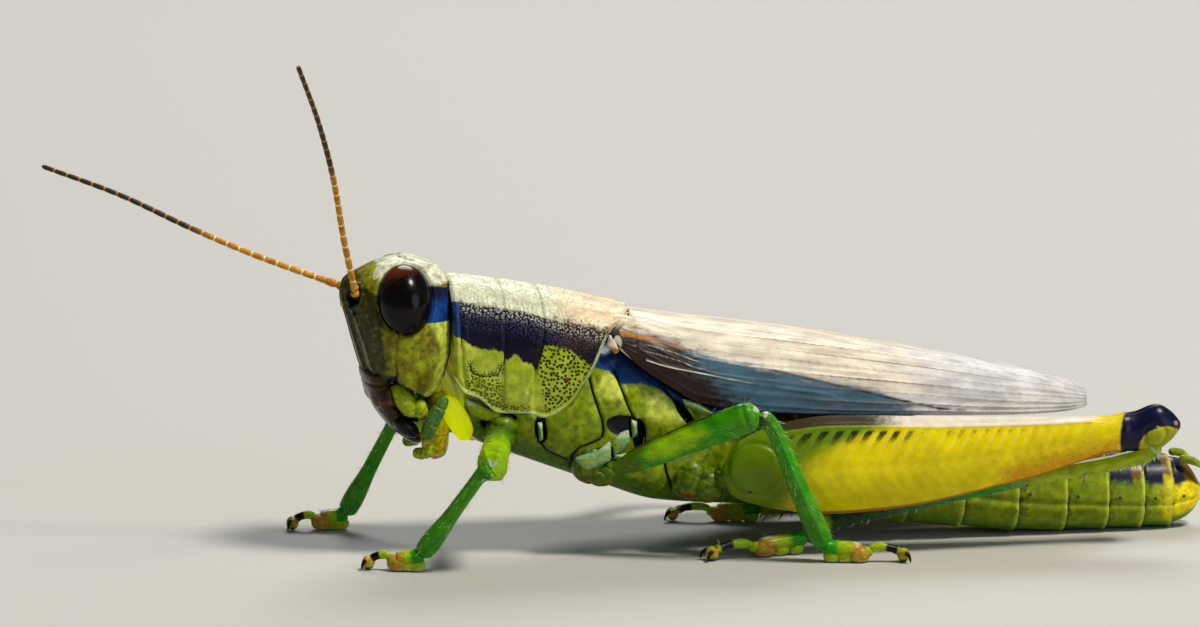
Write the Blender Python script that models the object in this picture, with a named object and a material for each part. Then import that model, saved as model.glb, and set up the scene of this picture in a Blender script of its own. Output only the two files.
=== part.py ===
"""A life-size spur-throated grasshopper, standing on a floor at Z = 0, as a still museum model.

Lengths are in millimetres until the last step, which turns them into metres. X runs from the face
(negative) to the tail, Y from the animal's left side (negative) to its right, and Z is up. The
animal's midline lies at Y = 0 while it is modelled; HOME then moves it, so that the origin is under
the middle of the whole model, feelers included. Each sub-part is one closed body in its own object.
"""

import math

import bmesh
import bpy
from mathutils import Vector

MM = 0.001
HOME = Vector((-1.12, 0.93, 0.0))
GAP = 0.06
LEFT = -1
RIGHT = 1
SIDES = ((LEFT, "left"), (RIGHT, "right"))

# Head: the face leans back downwards, so its front and rear edges follow the height.
HEAD_LOW = 5.2
HEAD_HIGH = 9.43
FACE_FRONT = (
    (5.2, -7.40), (6.05, -7.70), (7.5, -8.10), (8.15, -8.27), (8.6, -8.17), (9.0, -7.68), (9.43, -6.55),
)
HEAD_REAR = (
    (5.2, -5.42), (5.6, -5.16), (6.3, -5.06), (8.4, -5.02), (8.9, -5.12), (9.2, -5.45), (9.43, -6.2),
)
HEAD_HALF_WIDTH = (
    (5.2, 1.62), (6.2, 1.92), (7.0, 1.92), (8.2, 1.62), (8.8, 1.3), (9.2, 0.9), (9.43, 0.2),
)
EYE_CENTRE = (-6.53, 1.32, 8.2)
EYE_RADII = (0.81, 0.88, 1.16)
EYE_LEAN = 18.0
SOCKET_CENTRE = (-7.93, 0.62, 8.28)
SOCKET_RADIUS = 0.42

# Mouthparts, from front to back.
LABRUM_FRONT = ((3.5, -6.05), (4.1, -6.74), (4.6, -7.13), (5.14, -7.38))
LABRUM_REAR = ((3.5, -5.75), (4.1, -6.1), (4.6, -6.5), (5.14, -6.75))
LABRUM_HALF_WIDTH = ((3.5, 0.5), (3.8, 0.85), (4.4, 1.15), (5.14, 1.25))
LABRUM_RANGE = (3.5, 5.14)
MANDIBLE_RANGE = (3.95, 5.12)
MANDIBLE_FRONT = ((3.95, -6.35), (4.4, -6.8), (5.12, -7.0))
MANDIBLE_REAR = ((3.95, -6.0), (4.4, -5.7), (5.12, -5.68))
MANDIBLE_HALF_WIDTH = ((3.95, 0.3), (4.3, 0.6), (4.8, 0.68), (5.12, 0.66))
MANDIBLE_OUT = 0.76
LABIUM_FRONT = ((2.95, -5.45), (3.15, -5.62), (3.6, -5.66), (4.2, -5.6), (5.12, -5.56))
LABIUM_REAR = ((2.95, -5.2), (3.15, -5.0), (3.6, -4.92), (5.12, -4.98))
LABIUM_HALF_WIDTH = ((2.95, 0.45), (3.3, 0.9), (4.2, 1.2), (5.12, 1.3))
LABIUM_RANGE = (2.95, 5.12)
MAXILLARY_PALP = ((-5.2, 1.66, 5.0), (-5.45, 1.78, 4.55), (-5.75, 1.74, 4.1), (-5.9, 1.62, 3.7))
MAXILLARY_PALP_RADIUS = 0.25
LABIAL_PALP = ((-5.55, 1.15, 3.5), (-5.8, 1.2, 3.3), (-6.15, 1.0, 3.3))
LABIAL_PALP_RADIUS = 0.22

# Feelers: the left one is raised and the right one reaches forward.
ANTENNA_ROUTES = {
    LEFT: (
        (-7.94, -0.62, 8.32), (-8.36, -1.5, 10.07), (-8.9, -2.9, 12.2), (-9.5, -4.7, 14.2),
        (-10.4, -6.8, 16.25),
    ),
    RIGHT: (
        (-8.0, 0.62, 8.28), (-10.82, 1.4, 9.35), (-12.8, 1.9, 10.2), (-14.9, 2.4, 11.2),
        (-17.28, 3.0, 12.09),
    ),
}
ANTENNA_LENGTHS = (("base", 0.015, 0.075, 2), ("lower", 0.083, 0.5, 4), ("upper", 0.508, 1.0, 4))
ANTENNA_RADIUS = 0.25

# Pronotum: a saddle whose lower edge is a curve of height against X, ending in the rear point.
PRONOTUM_RANGE = (-4.95, 0.72)
PRONOTUM_TOP = ((-4.95, 8.8), (-3.19, 8.54), (-1.6, 8.25), (0.0, 7.88), (0.8, 7.67))
PRONOTUM_HALF_WIDTH = ((-4.95, 1.82), (-3.5, 1.9), (-1.8, 2.1), (0.8, 2.2))
PRONOTUM_WIDEST = ((-4.95, 6.5), (-1.8, 6.0), (0.8, 5.9))
PRONOTUM_EDGE = (
    (-4.95, 5.75), (-4.62, 5.29), (-4.15, 5.09), (-3.52, 4.62), (-2.64, 4.58), (-2.1, 4.45),
    (-1.46, 4.75), (-0.83, 5.62), (-0.26, 6.81), (0.0, 7.2), (0.45, 7.5), (0.8, 7.66),
)
PRONOTUM_LOWEST = 4.45
PRONOTUM_TUCK = 0.14
PRONOTUM_POWER = 2.6
SHELL = 0.5

# Thorax below and behind the pronotum.
TRUNK_TOP = ((-4.9, 8.3), (-1.0, 7.4), (1.0, 6.9), (4.6, 5.3))
TRUNK_BOTTOM = (
    (-4.9, 4.95), (-4.6, 4.15), (-4.0, 3.5), (-2.57, 2.95), (0.0, 2.02), (1.6, 1.5), (4.6, 1.25),
)
TRUNK_HALF_WIDTH = ((-4.9, 1.3), (-3.6, 1.6), (-2.2, 2.0), (0.0, 2.3), (2.4, 2.25), (4.6, 1.85))
NECK_RANGE = (-4.9, -4.12)
NECK_TOP = 8.0
NECK_HALF_WIDTH = 1.22
PROTHORAX_RANGE = (-4.05, -2.62)
MESOTHORAX_RANGE = (-2.56, 0.92)
METATHORAX_RANGE = (0.98, 4.5)
PLATE_SLANT = 0.28
WIDEST_LEVEL = 0.42
THROAT_SPINE = (
    ((-3.35, 0.0, 3.6), 0.34, 0.34), ((-3.25, 0.0, 2.9), 0.3, 0.3), ((-3.15, 0.0, 2.4), 0.14, 0.14),
)

# Abdomen, laid along the floor towards its tip.
ABDOMEN_BOTTOM = (
    (4.56, 1.22), (8.1, 0.66), (11.05, 0.33), (14.4, -0.05), (18.3, -0.05), (19.0, 0.25), (19.6, 0.85),
)
ABDOMEN_TOP = (
    (4.56, 5.1), (8.1, 4.3), (11.0, 3.6), (14.7, 2.85), (17.0, 2.45), (18.9, 2.15), (19.6, 1.35),
)
ABDOMEN_HALF_WIDTH = ((4.56, 1.75), (8.1, 1.7), (13.0, 1.45), (17.0, 1.2), (18.9, 0.85), (19.6, 0.35))
ABDOMEN_LENGTHS = (
    ("front", 4.56, 8.4), ("middle", 8.46, 13.0), ("rear", 13.06, 17.2), ("tip", 17.26, 19.6),
)
CERCUS = (((18.75, 0.62, 2.28), 0.2), ((19.15, 0.75, 2.2), 0.22), ((19.55, 0.7, 1.95), 0.12))

# Wings, folded like a roof over the abdomen.
TEGMEN_RANGE = (0.0, 15.7)
TEGMEN_CREST = ((0.0, 7.66), (0.86, 7.52), (6.45, 6.71), (12.98, 5.43), (14.95, 4.95), (15.7, 4.6))
TEGMEN_TOP = ((0.0, 7.04), (0.4, 7.24), (0.8, 7.42), (0.9, 8.0))
TEGMEN_EDGE = (
    (0.0, 6.95), (0.86, 6.04), (1.97, 5.29), (2.7, 4.86), (4.9, 4.5), (9.7, 4.22), (14.9, 3.99),
    (15.7, 4.05),
)
TEGMEN_HALF_WIDTH = (
    (0.0, 2.2), (2.0, 2.42), (7.0, 2.4), (10.0, 2.15), (13.0, 1.6), (15.0, 0.95), (15.7, 0.5),
)
TEGMEN_POWER = 2.4
HINDWING_RANGE = (4.7, 15.0)
WING_THICKNESS = 0.5

# Legs. Each limb is a run of stations: point on its axis, half depth, half width.
COXA_RADII = {"front": (0.55, 0.6, 0.72), "mid": (0.66, 0.66, 0.7), "hind": (0.78, 0.86, 0.72)}
COXA_CENTRES = {"front": (-3.35, 1.5, 3.86), "mid": (-0.4, 1.8, 2.75), "hind": (2.95, 2.05, 2.12)}
HIND_FEMUR_TOP = (
    (3.35, 2.95), (3.9, 3.72), (5.2, 4.2), (6.8, 4.4), (10.7, 4.27), (15.2, 4.17), (16.5, 4.3),
    (17.25, 4.55), (18.0, 4.1),
)
HIND_FEMUR_BOTTOM = (
    (3.35, 2.3), (3.9, 1.85), (5.2, 1.54), (6.9, 1.36), (8.6, 1.45), (12.9, 2.28), (16.3, 3.12),
    (17.2, 3.1), (18.0, 3.65),
)
HIND_FEMUR_HALF_WIDTH = (
    (3.35, 0.35), (5.0, 0.66), (7.5, 0.7), (11.0, 0.58), (15.0, 0.38), (16.4, 0.36), (17.2, 0.46),
    (18.0, 0.22),
)
HIND_FEMUR_OUT = ((3.35, 2.978), (18.0, 3.447))
HIND_PIVOT = (3.6, 2.75)
HIND_LIFT = {LEFT: 0.0, RIGHT: -9.8}
HIND_TIBIA = (
    (17.3, 3.4, 3.35), (16.9, 3.35, 2.95), (16.0, 3.2, 2.7), (13.0, 3.0, 2.2), (8.5, 2.78, 1.35),
    (6.0, 2.7, 0.85),
)
HIND_TIBIA_DEPTH = 0.28
HIND_TIBIA_WIDTH = 0.26

# Feet: fraction of the length, height of the sole, thickness and half width.
FOOT_STATIONS = (
    (0.0, 0.0, 0.42, 0.2), (0.12, 0.0, 0.52, 0.25), (0.3, 0.0, 0.48, 0.28), (0.42, 0.05, 0.32, 0.2),
    (0.54, 0.0, 0.42, 0.27), (0.63, 0.06, 0.3, 0.18), (0.82, 0.06, 0.3, 0.18), (0.93, 0.0, 0.36, 0.28),
    (1.0, 0.04, 0.24, 0.2),
)
CLAW_SPREAD = (0.1, 0.26, 0.36)
CLAW_REACH = (-0.1, 0.2, 0.42)
CLAW_HEIGHT = (0.17, 0.22, 0.06)
CLAW_RADIUS = (0.09, 0.08, 0.03)

# Hip, knee, ankle and toe of each leg that stands out from the body, as seen on the right side.
FRONT_LEGS = {
    LEFT: ((-3.45, 1.6, 3.85), (-4.2, 4.6, 3.4), (-6.25, 3.5, 0.5), (-7.75, 2.95)),
    RIGHT: ((-3.55, 1.6, 3.88), (-5.9, 3.15, 3.7), (-7.65, 3.7, 0.5), (-9.25, 3.9)),
}
MID_LEG = ((-0.1, 2.3, 2.75), (4.25, 4.3, 4.8), (6.45, 4.2, 0.5), (8.95, 4.65))
HIND_TOE = (3.1, 3.35)
FEMUR_PLACES = (0.0, 0.2, 0.55, 0.85, 1.0)
TIBIA_PLACES = (0.0, 0.08, 0.3, 0.8, 1.0)
FRONT_FEMUR = (0.36, 0.46, 0.5, 0.48, 0.38)
FRONT_TIBIA = (0.26, 0.25, 0.25, 0.29, 0.28)
MID_FEMUR = (0.3, 0.36, 0.43, 0.48, 0.4)
MID_TIBIA = (0.27, 0.27, 0.28, 0.33, 0.31)
FEMUR_FLATNESS = 0.85
TIBIA_FLATNESS = 0.9


def along(knots, x):
    """The height at x of a smooth curve through the knots, which never swings past them."""
    if x <= knots[0][0]:
        return knots[0][1]
    if x >= knots[-1][0]:
        return knots[-1][1]
    slopes = [(b[1] - a[1]) / (b[0] - a[0]) for a, b in zip(knots, knots[1:])]
    turns = [slopes[0]]
    for before, after in zip(slopes, slopes[1:]):
        turns.append(0.0 if before * after <= 0 else 2 * before * after / (before + after))
    turns.append(slopes[-1])
    i = max(k for k in range(len(knots) - 1) if knots[k][0] <= x)
    width = knots[i + 1][0] - knots[i][0]
    t = (x - knots[i][0]) / width
    start = knots[i][1] * (1 + 2 * t) * (1 - t) ** 2 + turns[i] * width * t * (1 - t) ** 2
    end = knots[i + 1][1] * t * t * (3 - 2 * t) - turns[i + 1] * width * t * t * (1 - t)
    return start + end


def steps(low, high, count):
    return [low + (high - low) * i / count for i in range(count + 1)]


def rounded(angle, power):
    """A point of the unit curve |x|^power + |y|^power = 1, which is a circle at power 2."""
    across = math.cos(angle)
    up = math.sin(angle)
    return (
        math.copysign(abs(across) ** (2 / power), across),
        math.copysign(abs(up) ** (2 / power), up),
    )


def material(slot, colour, roughness):
    """A plain Principled material in the slot's colour, given as three linear values."""
    made = bpy.data.materials.new(slot)
    made.use_nodes = True
    shader = made.node_tree.nodes["Principled BSDF"]
    shader.inputs["Base Color"].default_value = (*colour, 1.0)
    shader.inputs["Roughness"].default_value = roughness
    shader.inputs["Metallic"].default_value = 0.0
    return made


def solid(name, rings, slot):
    """One closed body through the rings, which all have the same number of points."""
    mesh = bpy.data.meshes.new(name)
    shape = bmesh.new()
    loops = [[shape.verts.new((Vector(point) + HOME) * MM) for point in ring] for ring in rings]
    for near, far in zip(loops, loops[1:]):
        for i in range(len(near)):
            shape.faces.new((near[i], near[i - 1], far[i - 1], far[i]))
    shape.faces.new(loops[0])
    shape.faces.new(list(reversed(loops[-1])))
    bmesh.ops.recalc_face_normals(shape, faces=shape.faces)
    shape.to_mesh(mesh)
    shape.free()
    mesh.shade_smooth()
    mesh.set_sharp_from_angle(angle=math.radians(40))
    mesh.materials.append(SLOTS[slot])
    piece = bpy.data.objects.new(name, mesh)
    bpy.context.collection.objects.link(piece)
    return piece


def combine(piece, other, operation):
    """A live Boolean; the other object is only a tool, so it is hidden from the model."""
    other.hide_render = True
    other.display_type = "WIRE"
    change = piece.modifiers.new(other.name, "BOOLEAN")
    change.operation = operation
    change.solver = "EXACT"
    change.object = other
    return piece


def carve(piece, *tools):
    for tool in tools:
        combine(piece, tool, "DIFFERENCE")
    return piece


def ball(name, centre, radii, slot, rings=5, around=8, lean=0.0):
    """An ellipsoid closed by small rings instead of poles, its top leaning towards the midline."""
    tip = math.radians(lean) * (1 if centre[1] > 0 else -1)
    loops = []
    for tilt in steps(0.13, math.pi - 0.13, rings):
        loop = []
        for turn in steps(0.0, 2 * math.pi, around)[:-1]:
            out = radii[1] * math.sin(tilt) * math.sin(turn)
            above = radii[2] * math.cos(tilt)
            loop.append((
                centre[0] + radii[0] * math.sin(tilt) * math.cos(turn),
                centre[1] + out * math.cos(tip) - above * math.sin(tip),
                centre[2] + out * math.sin(tip) + above * math.cos(tip),
            ))
        loops.append(loop)
    return solid(name, loops, slot)


def limb(name, stations, slot, around=10, grow=0.0, up=(0.0, 0.0, 1.0)):
    """A tapering rod through stations of (point, half depth, half width)."""
    points = [Vector(station[0]) for station in stations]
    loops = []
    for i, (_, depth, width) in enumerate(stations):
        ahead = (points[min(i + 1, len(points) - 1)] - points[max(i - 1, 0)]).normalized()
        side = ahead.cross(Vector(up)).normalized()
        over = side.cross(ahead)
        loop = []
        for turn in steps(0.0, 2 * math.pi, around)[:-1]:
            across = side * (width + grow) * math.cos(turn)
            loop.append(points[i] + across + over * (depth + grow) * math.sin(turn))
        loops.append(loop)
    if grow:
        reach = (points[0] - points[1]).normalized() * grow
        loops[0] = [point + reach for point in loops[0]]
        reach = (points[-1] - points[-2]).normalized() * grow
        loops[-1] = [point + reach for point in loops[-1]]
    return solid(name, loops, slot)


def mirrored(point, side):
    return (point[0], point[1] * side, point[2])


def level_ring(z, front, rear, half_width, taper, power, around):
    """A level slice: the front half narrows towards the face by the taper."""
    middle = (front + rear) / 2
    loop = []
    for k in range(around):
        forward, across = rounded(2 * math.pi * k / around, power)
        narrow = 1 - taper * max(forward, 0.0) ** 2
        loop.append((middle - forward * (rear - front) / 2, across * half_width * narrow, z))
    return loop


def level_body(name, span, outline, slot, levels, taper=0.3, power=2.3, around=18, shift=0.0):
    """A body of level slices; its outline is its front, its rear and its half width against height."""
    front, rear, half_width = outline
    rings = []
    for z in steps(span[0], span[1], levels):
        ring = level_ring(z, along(front, z), along(rear, z), along(half_width, z), taper, power, around)
        rings.append([(x, y + shift, height) for x, y, height in ring])
    return solid(name, rings, slot)


def saddle_half_width(x, height, crest, grow):
    """Half width of the pronotum at a height, on a surface grown outward, or inward when below 0."""
    widest = along(PRONOTUM_WIDEST, x)
    half = along(PRONOTUM_HALF_WIDTH, x) + grow
    if height < widest:
        return half - PRONOTUM_TUCK * ((widest - height) / (widest - PRONOTUM_LOWEST)) ** 2
    rise = min((height - widest) / (crest - widest), 1.0)
    return half * (1 - rise ** PRONOTUM_POWER) ** (1 / PRONOTUM_POWER)


def saddle_side(x, low, crest, grow, count):
    """Points down one side of the saddle, from its crest to the height low."""
    points = [(0.0, crest)]
    for i in range(1, count + 1):
        fall = math.sin(math.pi / 2 * i / count) ** 1.4
        height = crest - (crest - low) * fall
        points.append((saddle_half_width(x, height, crest, grow), height))
    return points


def saddle_ring(x, outer_grow, inner_grow, drop, count=5):
    """A C-shaped slice of the pronotum: over its outer side and back along its inner side."""
    top = along(PRONOTUM_TOP, x)
    low = min(along(PRONOTUM_EDGE, x), top - 0.12) - drop
    outer = saddle_side(x, low, top + outer_grow, outer_grow, count)
    inner = saddle_side(x, low, max(top + inner_grow, low + 0.03), inner_grow, count)
    ring = [(x, -y, z) for y, z in reversed(outer)] + [(x, y, z) for y, z in outer[1:]]
    ring += [(x, y, z) for y, z in reversed(inner)] + [(x, -y, z) for y, z in inner[1:]]
    return ring


def saddle(name, outer_grow, inner_grow, drop, slot, reach=0.0, slices=11):
    """The pronotum, or with a reach a longer tool of the same facets."""
    places = steps(PRONOTUM_RANGE[0], PRONOTUM_RANGE[1], slices)
    if reach:
        places = [places[0] - reach] + places + [places[-1] + reach]
    rings = [saddle_ring(x, outer_grow, inner_grow, drop) for x in places]
    return solid(name, rings, slot)


def trunk_ring(x, bottom, top, half_width, slant=0.0, around=16, low_power=2.6, high_power=2.2):
    """A slice of the body: fuller below its widest level than above it, and never under the floor."""
    widest = bottom + WIDEST_LEVEL * (top - bottom)
    loop = []
    for k in range(around):
        turn = 2 * math.pi * (k + 0.5) / around
        across, up = rounded(turn, high_power if turn < math.pi else low_power)
        height = widest + up * ((top - widest) if up > 0 else (widest - bottom))
        height = max(height, 0.0)
        lean = slant * (height - widest) / (top - bottom)
        loop.append((x + lean, across * half_width, height))
    return loop


def trunk(name, span, slot, slices, slant_start=0.0, slant_end=0.0):
    rings = []
    for i, x in enumerate(steps(span[0], span[1], slices)):
        slant = slant_start + (slant_end - slant_start) * i / slices
        half = along(TRUNK_HALF_WIDTH, x)
        rings.append(trunk_ring(x, along(TRUNK_BOTTOM, x), along(TRUNK_TOP, x), half, slant))
    return solid(name, rings, slot)


def roof_side(x, side, inward, count):
    """Points down one tegmen, from its ridge to its lower edge, on a roof smaller by the given depth."""
    low = along(TEGMEN_EDGE, x)
    crest = max(along(TEGMEN_CREST, x) - inward, low + 0.03)
    upper = min(along(TEGMEN_TOP, x), crest)
    half = max(along(TEGMEN_HALF_WIDTH, x) - inward, 2 * GAP)
    points = []
    for i in range(count + 1):
        height = upper - (upper - low) * (i / count) ** 1.5
        rise = min((height - low) / (crest - low), 1.0)
        out = max(half * (1 - rise ** TEGMEN_POWER) ** (1 / TEGMEN_POWER), GAP / 2)
        points.append((x, side * out, height))
    return points


def roof(name, side, span, outer, inner, slot, slices=13, count=5):
    rings = []
    for x in steps(span[0], span[1], slices):
        inner_side = roof_side(x, side, inner, count)
        rings.append(roof_side(x, side, outer, count) + list(reversed(inner_side)))
    return solid(name, rings, slot)


def lifted(point, side):
    """A point of a hind leg, turned about the hip by that side's lift."""
    angle = math.radians(HIND_LIFT[side])
    along_x = point[0] - HIND_PIVOT[0]
    above = point[2] - HIND_PIVOT[1]
    return (
        HIND_PIVOT[0] + along_x * math.cos(angle) - above * math.sin(angle),
        point[1],
        HIND_PIVOT[1] + along_x * math.sin(angle) + above * math.cos(angle),
    )


def hind_femur(name, side, slot, around=12, slices=11):
    rings = []
    for x in steps(HIND_FEMUR_TOP[0][0], HIND_FEMUR_TOP[-1][0], slices):
        top = along(HIND_FEMUR_TOP, x)
        bottom = along(HIND_FEMUR_BOTTOM, x)
        half = along(HIND_FEMUR_HALF_WIDTH, x)
        middle = along(HIND_FEMUR_OUT, x)
        loop = []
        for k in range(around):
            across, up = rounded(2 * math.pi * k / around, 1.8)
            height = (top + bottom) / 2 + up * (top - bottom) / 2
            loop.append(lifted((x, side * (middle + across * half), height), side))
        rings.append(loop)
    return solid(name, rings, slot)


def tarsus(name, ankle, toe, slot, landing=0.12, around=8):
    """A three-jointed foot with soles flat on the floor, and two claws beyond the last pad."""
    start = Vector((ankle[0], ankle[1], 0.0))
    run = Vector((toe[0], toe[1], 0.0)) - start
    ahead = run.normalized()
    side = Vector((-ahead.y, ahead.x, 0.0))
    rings = []
    for t, lift, thick, half in FOOT_STATIONS:
        low = max(lift, (ankle[2] - 0.2) * (1 - t / landing))
        loop = []
        for k in range(around):
            turn = 2 * math.pi * (k + 0.5) / around
            height = low + thick / 2 + math.sin(turn) * thick * 0.58
            point = start + run * t + side * half * math.cos(turn)
            loop.append((point.x, point.y, min(max(height, low), low + thick)))
        rings.append(loop)
    foot = solid(name, rings, slot)
    for way, word in SIDES:
        claw = []
        for spread, reach, height, radius in zip(CLAW_SPREAD, CLAW_REACH, CLAW_HEIGHT, CLAW_RADIUS):
            point = start + run + ahead * reach + side * way * spread
            claw.append(((point.x, point.y, height), radius, radius))
        combine(foot, limb(f"{name}_claw_{word}", claw, slot, around=4), "UNION")
    return foot


def room(name, centre, radii, rings=5, around=8, lean=0.0):
    """A ball grown by the gap, to cut a seat for the ball that it surrounds."""
    return ball(name, centre, [radius + GAP for radius in radii], "room", rings, around, lean)


def bend(points, t):
    """A point at fraction t of a smooth path through the points."""
    knots = [i / (len(points) - 1) for i in range(len(points))]
    return tuple(along([(k, point[axis]) for k, point in zip(knots, points)], t) for axis in range(3))


for old in list(bpy.data.objects):
    bpy.data.objects.remove(old)

SLOTS = {
    "room": material("room", (0.5, 0.5, 0.5), 0.5),
    "face_cuticle": material("face_cuticle", (0.26, 0.27, 0.02), 0.3),
    "eye_glassy": material("eye_glassy", (0.02, 0.01, 0.008), 0.08),
    "mouth_cuticle": material("mouth_cuticle", (0.09, 0.08, 0.02), 0.3),
    "palp_cuticle": material("palp_cuticle", (0.12, 0.32, 0.08), 0.35),
    "antenna_cuticle": material("antenna_cuticle", (0.5, 0.32, 0.06), 0.4),
    "neck_membrane": material("neck_membrane", (0.72, 0.72, 0.03), 0.45),
    "pronotum_cuticle": material("pronotum_cuticle", (0.42, 0.44, 0.04), 0.35),
    "thorax_cuticle": material("thorax_cuticle", (0.34, 0.38, 0.03), 0.35),
    "abdomen_cuticle": material("abdomen_cuticle", (0.3, 0.33, 0.02), 0.4),
    "tegmen_leathery": material("tegmen_leathery", (0.38, 0.3, 0.19), 0.45),
    "hindwing_membrane": material("hindwing_membrane", (0.3, 0.28, 0.2), 0.35),
    "green_leg_cuticle": material("green_leg_cuticle", (0.04, 0.33, 0.01), 0.35),
    "hind_femur_cuticle": material("hind_femur_cuticle", (0.56, 0.46, 0.01), 0.4),
    "hind_tibia_cuticle": material("hind_tibia_cuticle", (0.1, 0.34, 0.16), 0.35),
    "tarsus_cuticle": material("tarsus_cuticle", (0.4, 0.38, 0.04), 0.4),
}


def build_head():
    outline = (FACE_FRONT, HEAD_REAR, HEAD_HALF_WIDTH)
    head = level_body("head", (HEAD_LOW, HEAD_HIGH), outline, "face_cuticle", 11)
    for side, word in SIDES:
        centre = mirrored(EYE_CENTRE, side)
        eye = ball(f"eye_{word}", centre, EYE_RADII, "eye_glassy", 8, 12, EYE_LEAN)
        eye.data.shade_smooth()
        carve(head, room(f"eye_pit_{word}", centre, EYE_RADII, 8, 12, EYE_LEAN))
        socket = mirrored(SOCKET_CENTRE, side)
        carve(head, ball(f"antenna_pit_{word}", socket, (SOCKET_RADIUS,) * 3, "room"))


def build_mouth():
    outline = (LABRUM_FRONT, LABRUM_REAR, LABRUM_HALF_WIDTH)
    level_body("labrum", LABRUM_RANGE, outline, "mouth_cuticle", 6, 0.1, 2.6, 14)
    grown = (
        [(z, x - GAP) for z, x in LABRUM_FRONT],
        [(z, x + GAP) for z, x in LABRUM_REAR],
        [(z, half + GAP) for z, half in LABRUM_HALF_WIDTH],
    )
    span = (LABRUM_RANGE[0] - 0.1, LABRUM_RANGE[1] + 0.16)
    outline = (MANDIBLE_FRONT, MANDIBLE_REAR, MANDIBLE_HALF_WIDTH)
    for side, word in SIDES:
        jaw = level_body(
            f"mandible_{word}", MANDIBLE_RANGE, outline, "face_cuticle", 4, 0.0, 2.6, 12,
            side * MANDIBLE_OUT,
        )
        carve(jaw, level_body(f"labrum_room_{word}", span, grown, "room", 6, 0.1, 2.6, 14))
    outline = (LABIUM_FRONT, LABIUM_REAR, LABIUM_HALF_WIDTH)
    level_body("labium", LABIUM_RANGE, outline, "mouth_cuticle", 7, 0.1, 2.5, 14)
    for side, word in SIDES:
        palp(f"maxillary_palp_{word}", MAXILLARY_PALP, side, MAXILLARY_PALP_RADIUS, 5)
        palp(f"labial_palp_{word}", LABIAL_PALP, side, LABIAL_PALP_RADIUS, 3)


def palp(name, route, side, radius, count):
    stations = [(mirrored(bend(route, t), side), radius, radius) for t in steps(0, 1, count)]
    limb(name, stations, "palp_cuticle", around=8)


def build_antennae():
    for side, word in SIDES:
        for part, start, end, count in ANTENNA_LENGTHS:
            stations = []
            for t in steps(start, end, count):
                stations.append((bend(ANTENNA_ROUTES[side], t), ANTENNA_RADIUS, ANTENNA_RADIUS))
            limb(f"antenna_{word}_{part}", stations, "antenna_cuticle", 7, up=(1.0, 0.3, 0.0))


def build_thorax():
    saddle("pronotum", 0.0, -SHELL, 0.0, "pronotum_cuticle")
    rings = []
    for x in steps(NECK_RANGE[0], NECK_RANGE[1], 3):
        rings.append(trunk_ring(x, along(TRUNK_BOTTOM, x), NECK_TOP, NECK_HALF_WIDTH, 0.0, 14))
    solid("neck", rings, "neck_membrane")
    pro = trunk("prothorax", PROTHORAX_RANGE, "thorax_cuticle", 4, 0.0, PLATE_SLANT)
    meso = trunk("mesothorax", MESOTHORAX_RANGE, "thorax_cuticle", 7, PLATE_SLANT, -2 * PLATE_SLANT)
    meta = trunk("metathorax", METATHORAX_RANGE, "thorax_cuticle", 7, -2 * PLATE_SLANT, 0.0)
    for piece in (pro, meso):
        tool = saddle(f"{piece.name}_saddle_room", 1.2, -SHELL - GAP, GAP, "room", 0.25)
        carve(piece, tool)
    for piece in (meso, meta):
        for side, word in SIDES:
            name = f"{piece.name}_wing_room_{word}"
            tool = roof(name, side, (-0.1, 8.0), -1.5, WING_THICKNESS + GAP, "room", 8)
            carve(piece, tool)
    spine = limb("throat_spine", THROAT_SPINE, "thorax_cuticle", 8, up=(0.0, 1.0, 0.0))
    combine(pro, spine, "UNION")
    for piece, pair in ((pro, "front"), (meso, "mid"), (meta, "hind")):
        for side, word in SIDES:
            centre = mirrored(COXA_CENTRES[pair], side)
            carve(piece, room(f"{pair}_coxa_room_{word}", centre, COXA_RADII[pair]))


def build_abdomen():
    for part, start, end in ABDOMEN_LENGTHS:
        rings = []
        for x in steps(start, end, 5):
            bottom = along(ABDOMEN_BOTTOM, x)
            top = along(ABDOMEN_TOP, x)
            half = along(ABDOMEN_HALF_WIDTH, x)
            rings.append(trunk_ring(x, bottom, top, half, 0.0, 14, 2.3, 2.1))
        solid(f"abdomen_{part}", rings, "abdomen_cuticle")
    for side, word in SIDES:
        stations = [(mirrored(point, side), radius, radius) for point, radius in CERCUS]
        limb(f"cercus_{word}", stations, "abdomen_cuticle", around=8)


def build_wings():
    for side, word in SIDES:
        roof(f"tegmen_{word}", side, TEGMEN_RANGE, 0.0, WING_THICKNESS, "tegmen_leathery")
        inner = WING_THICKNESS + GAP
        roof(f"hindwing_{word}", side, HINDWING_RANGE, inner, inner + WING_THICKNESS, "hindwing_membrane", 7)


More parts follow.
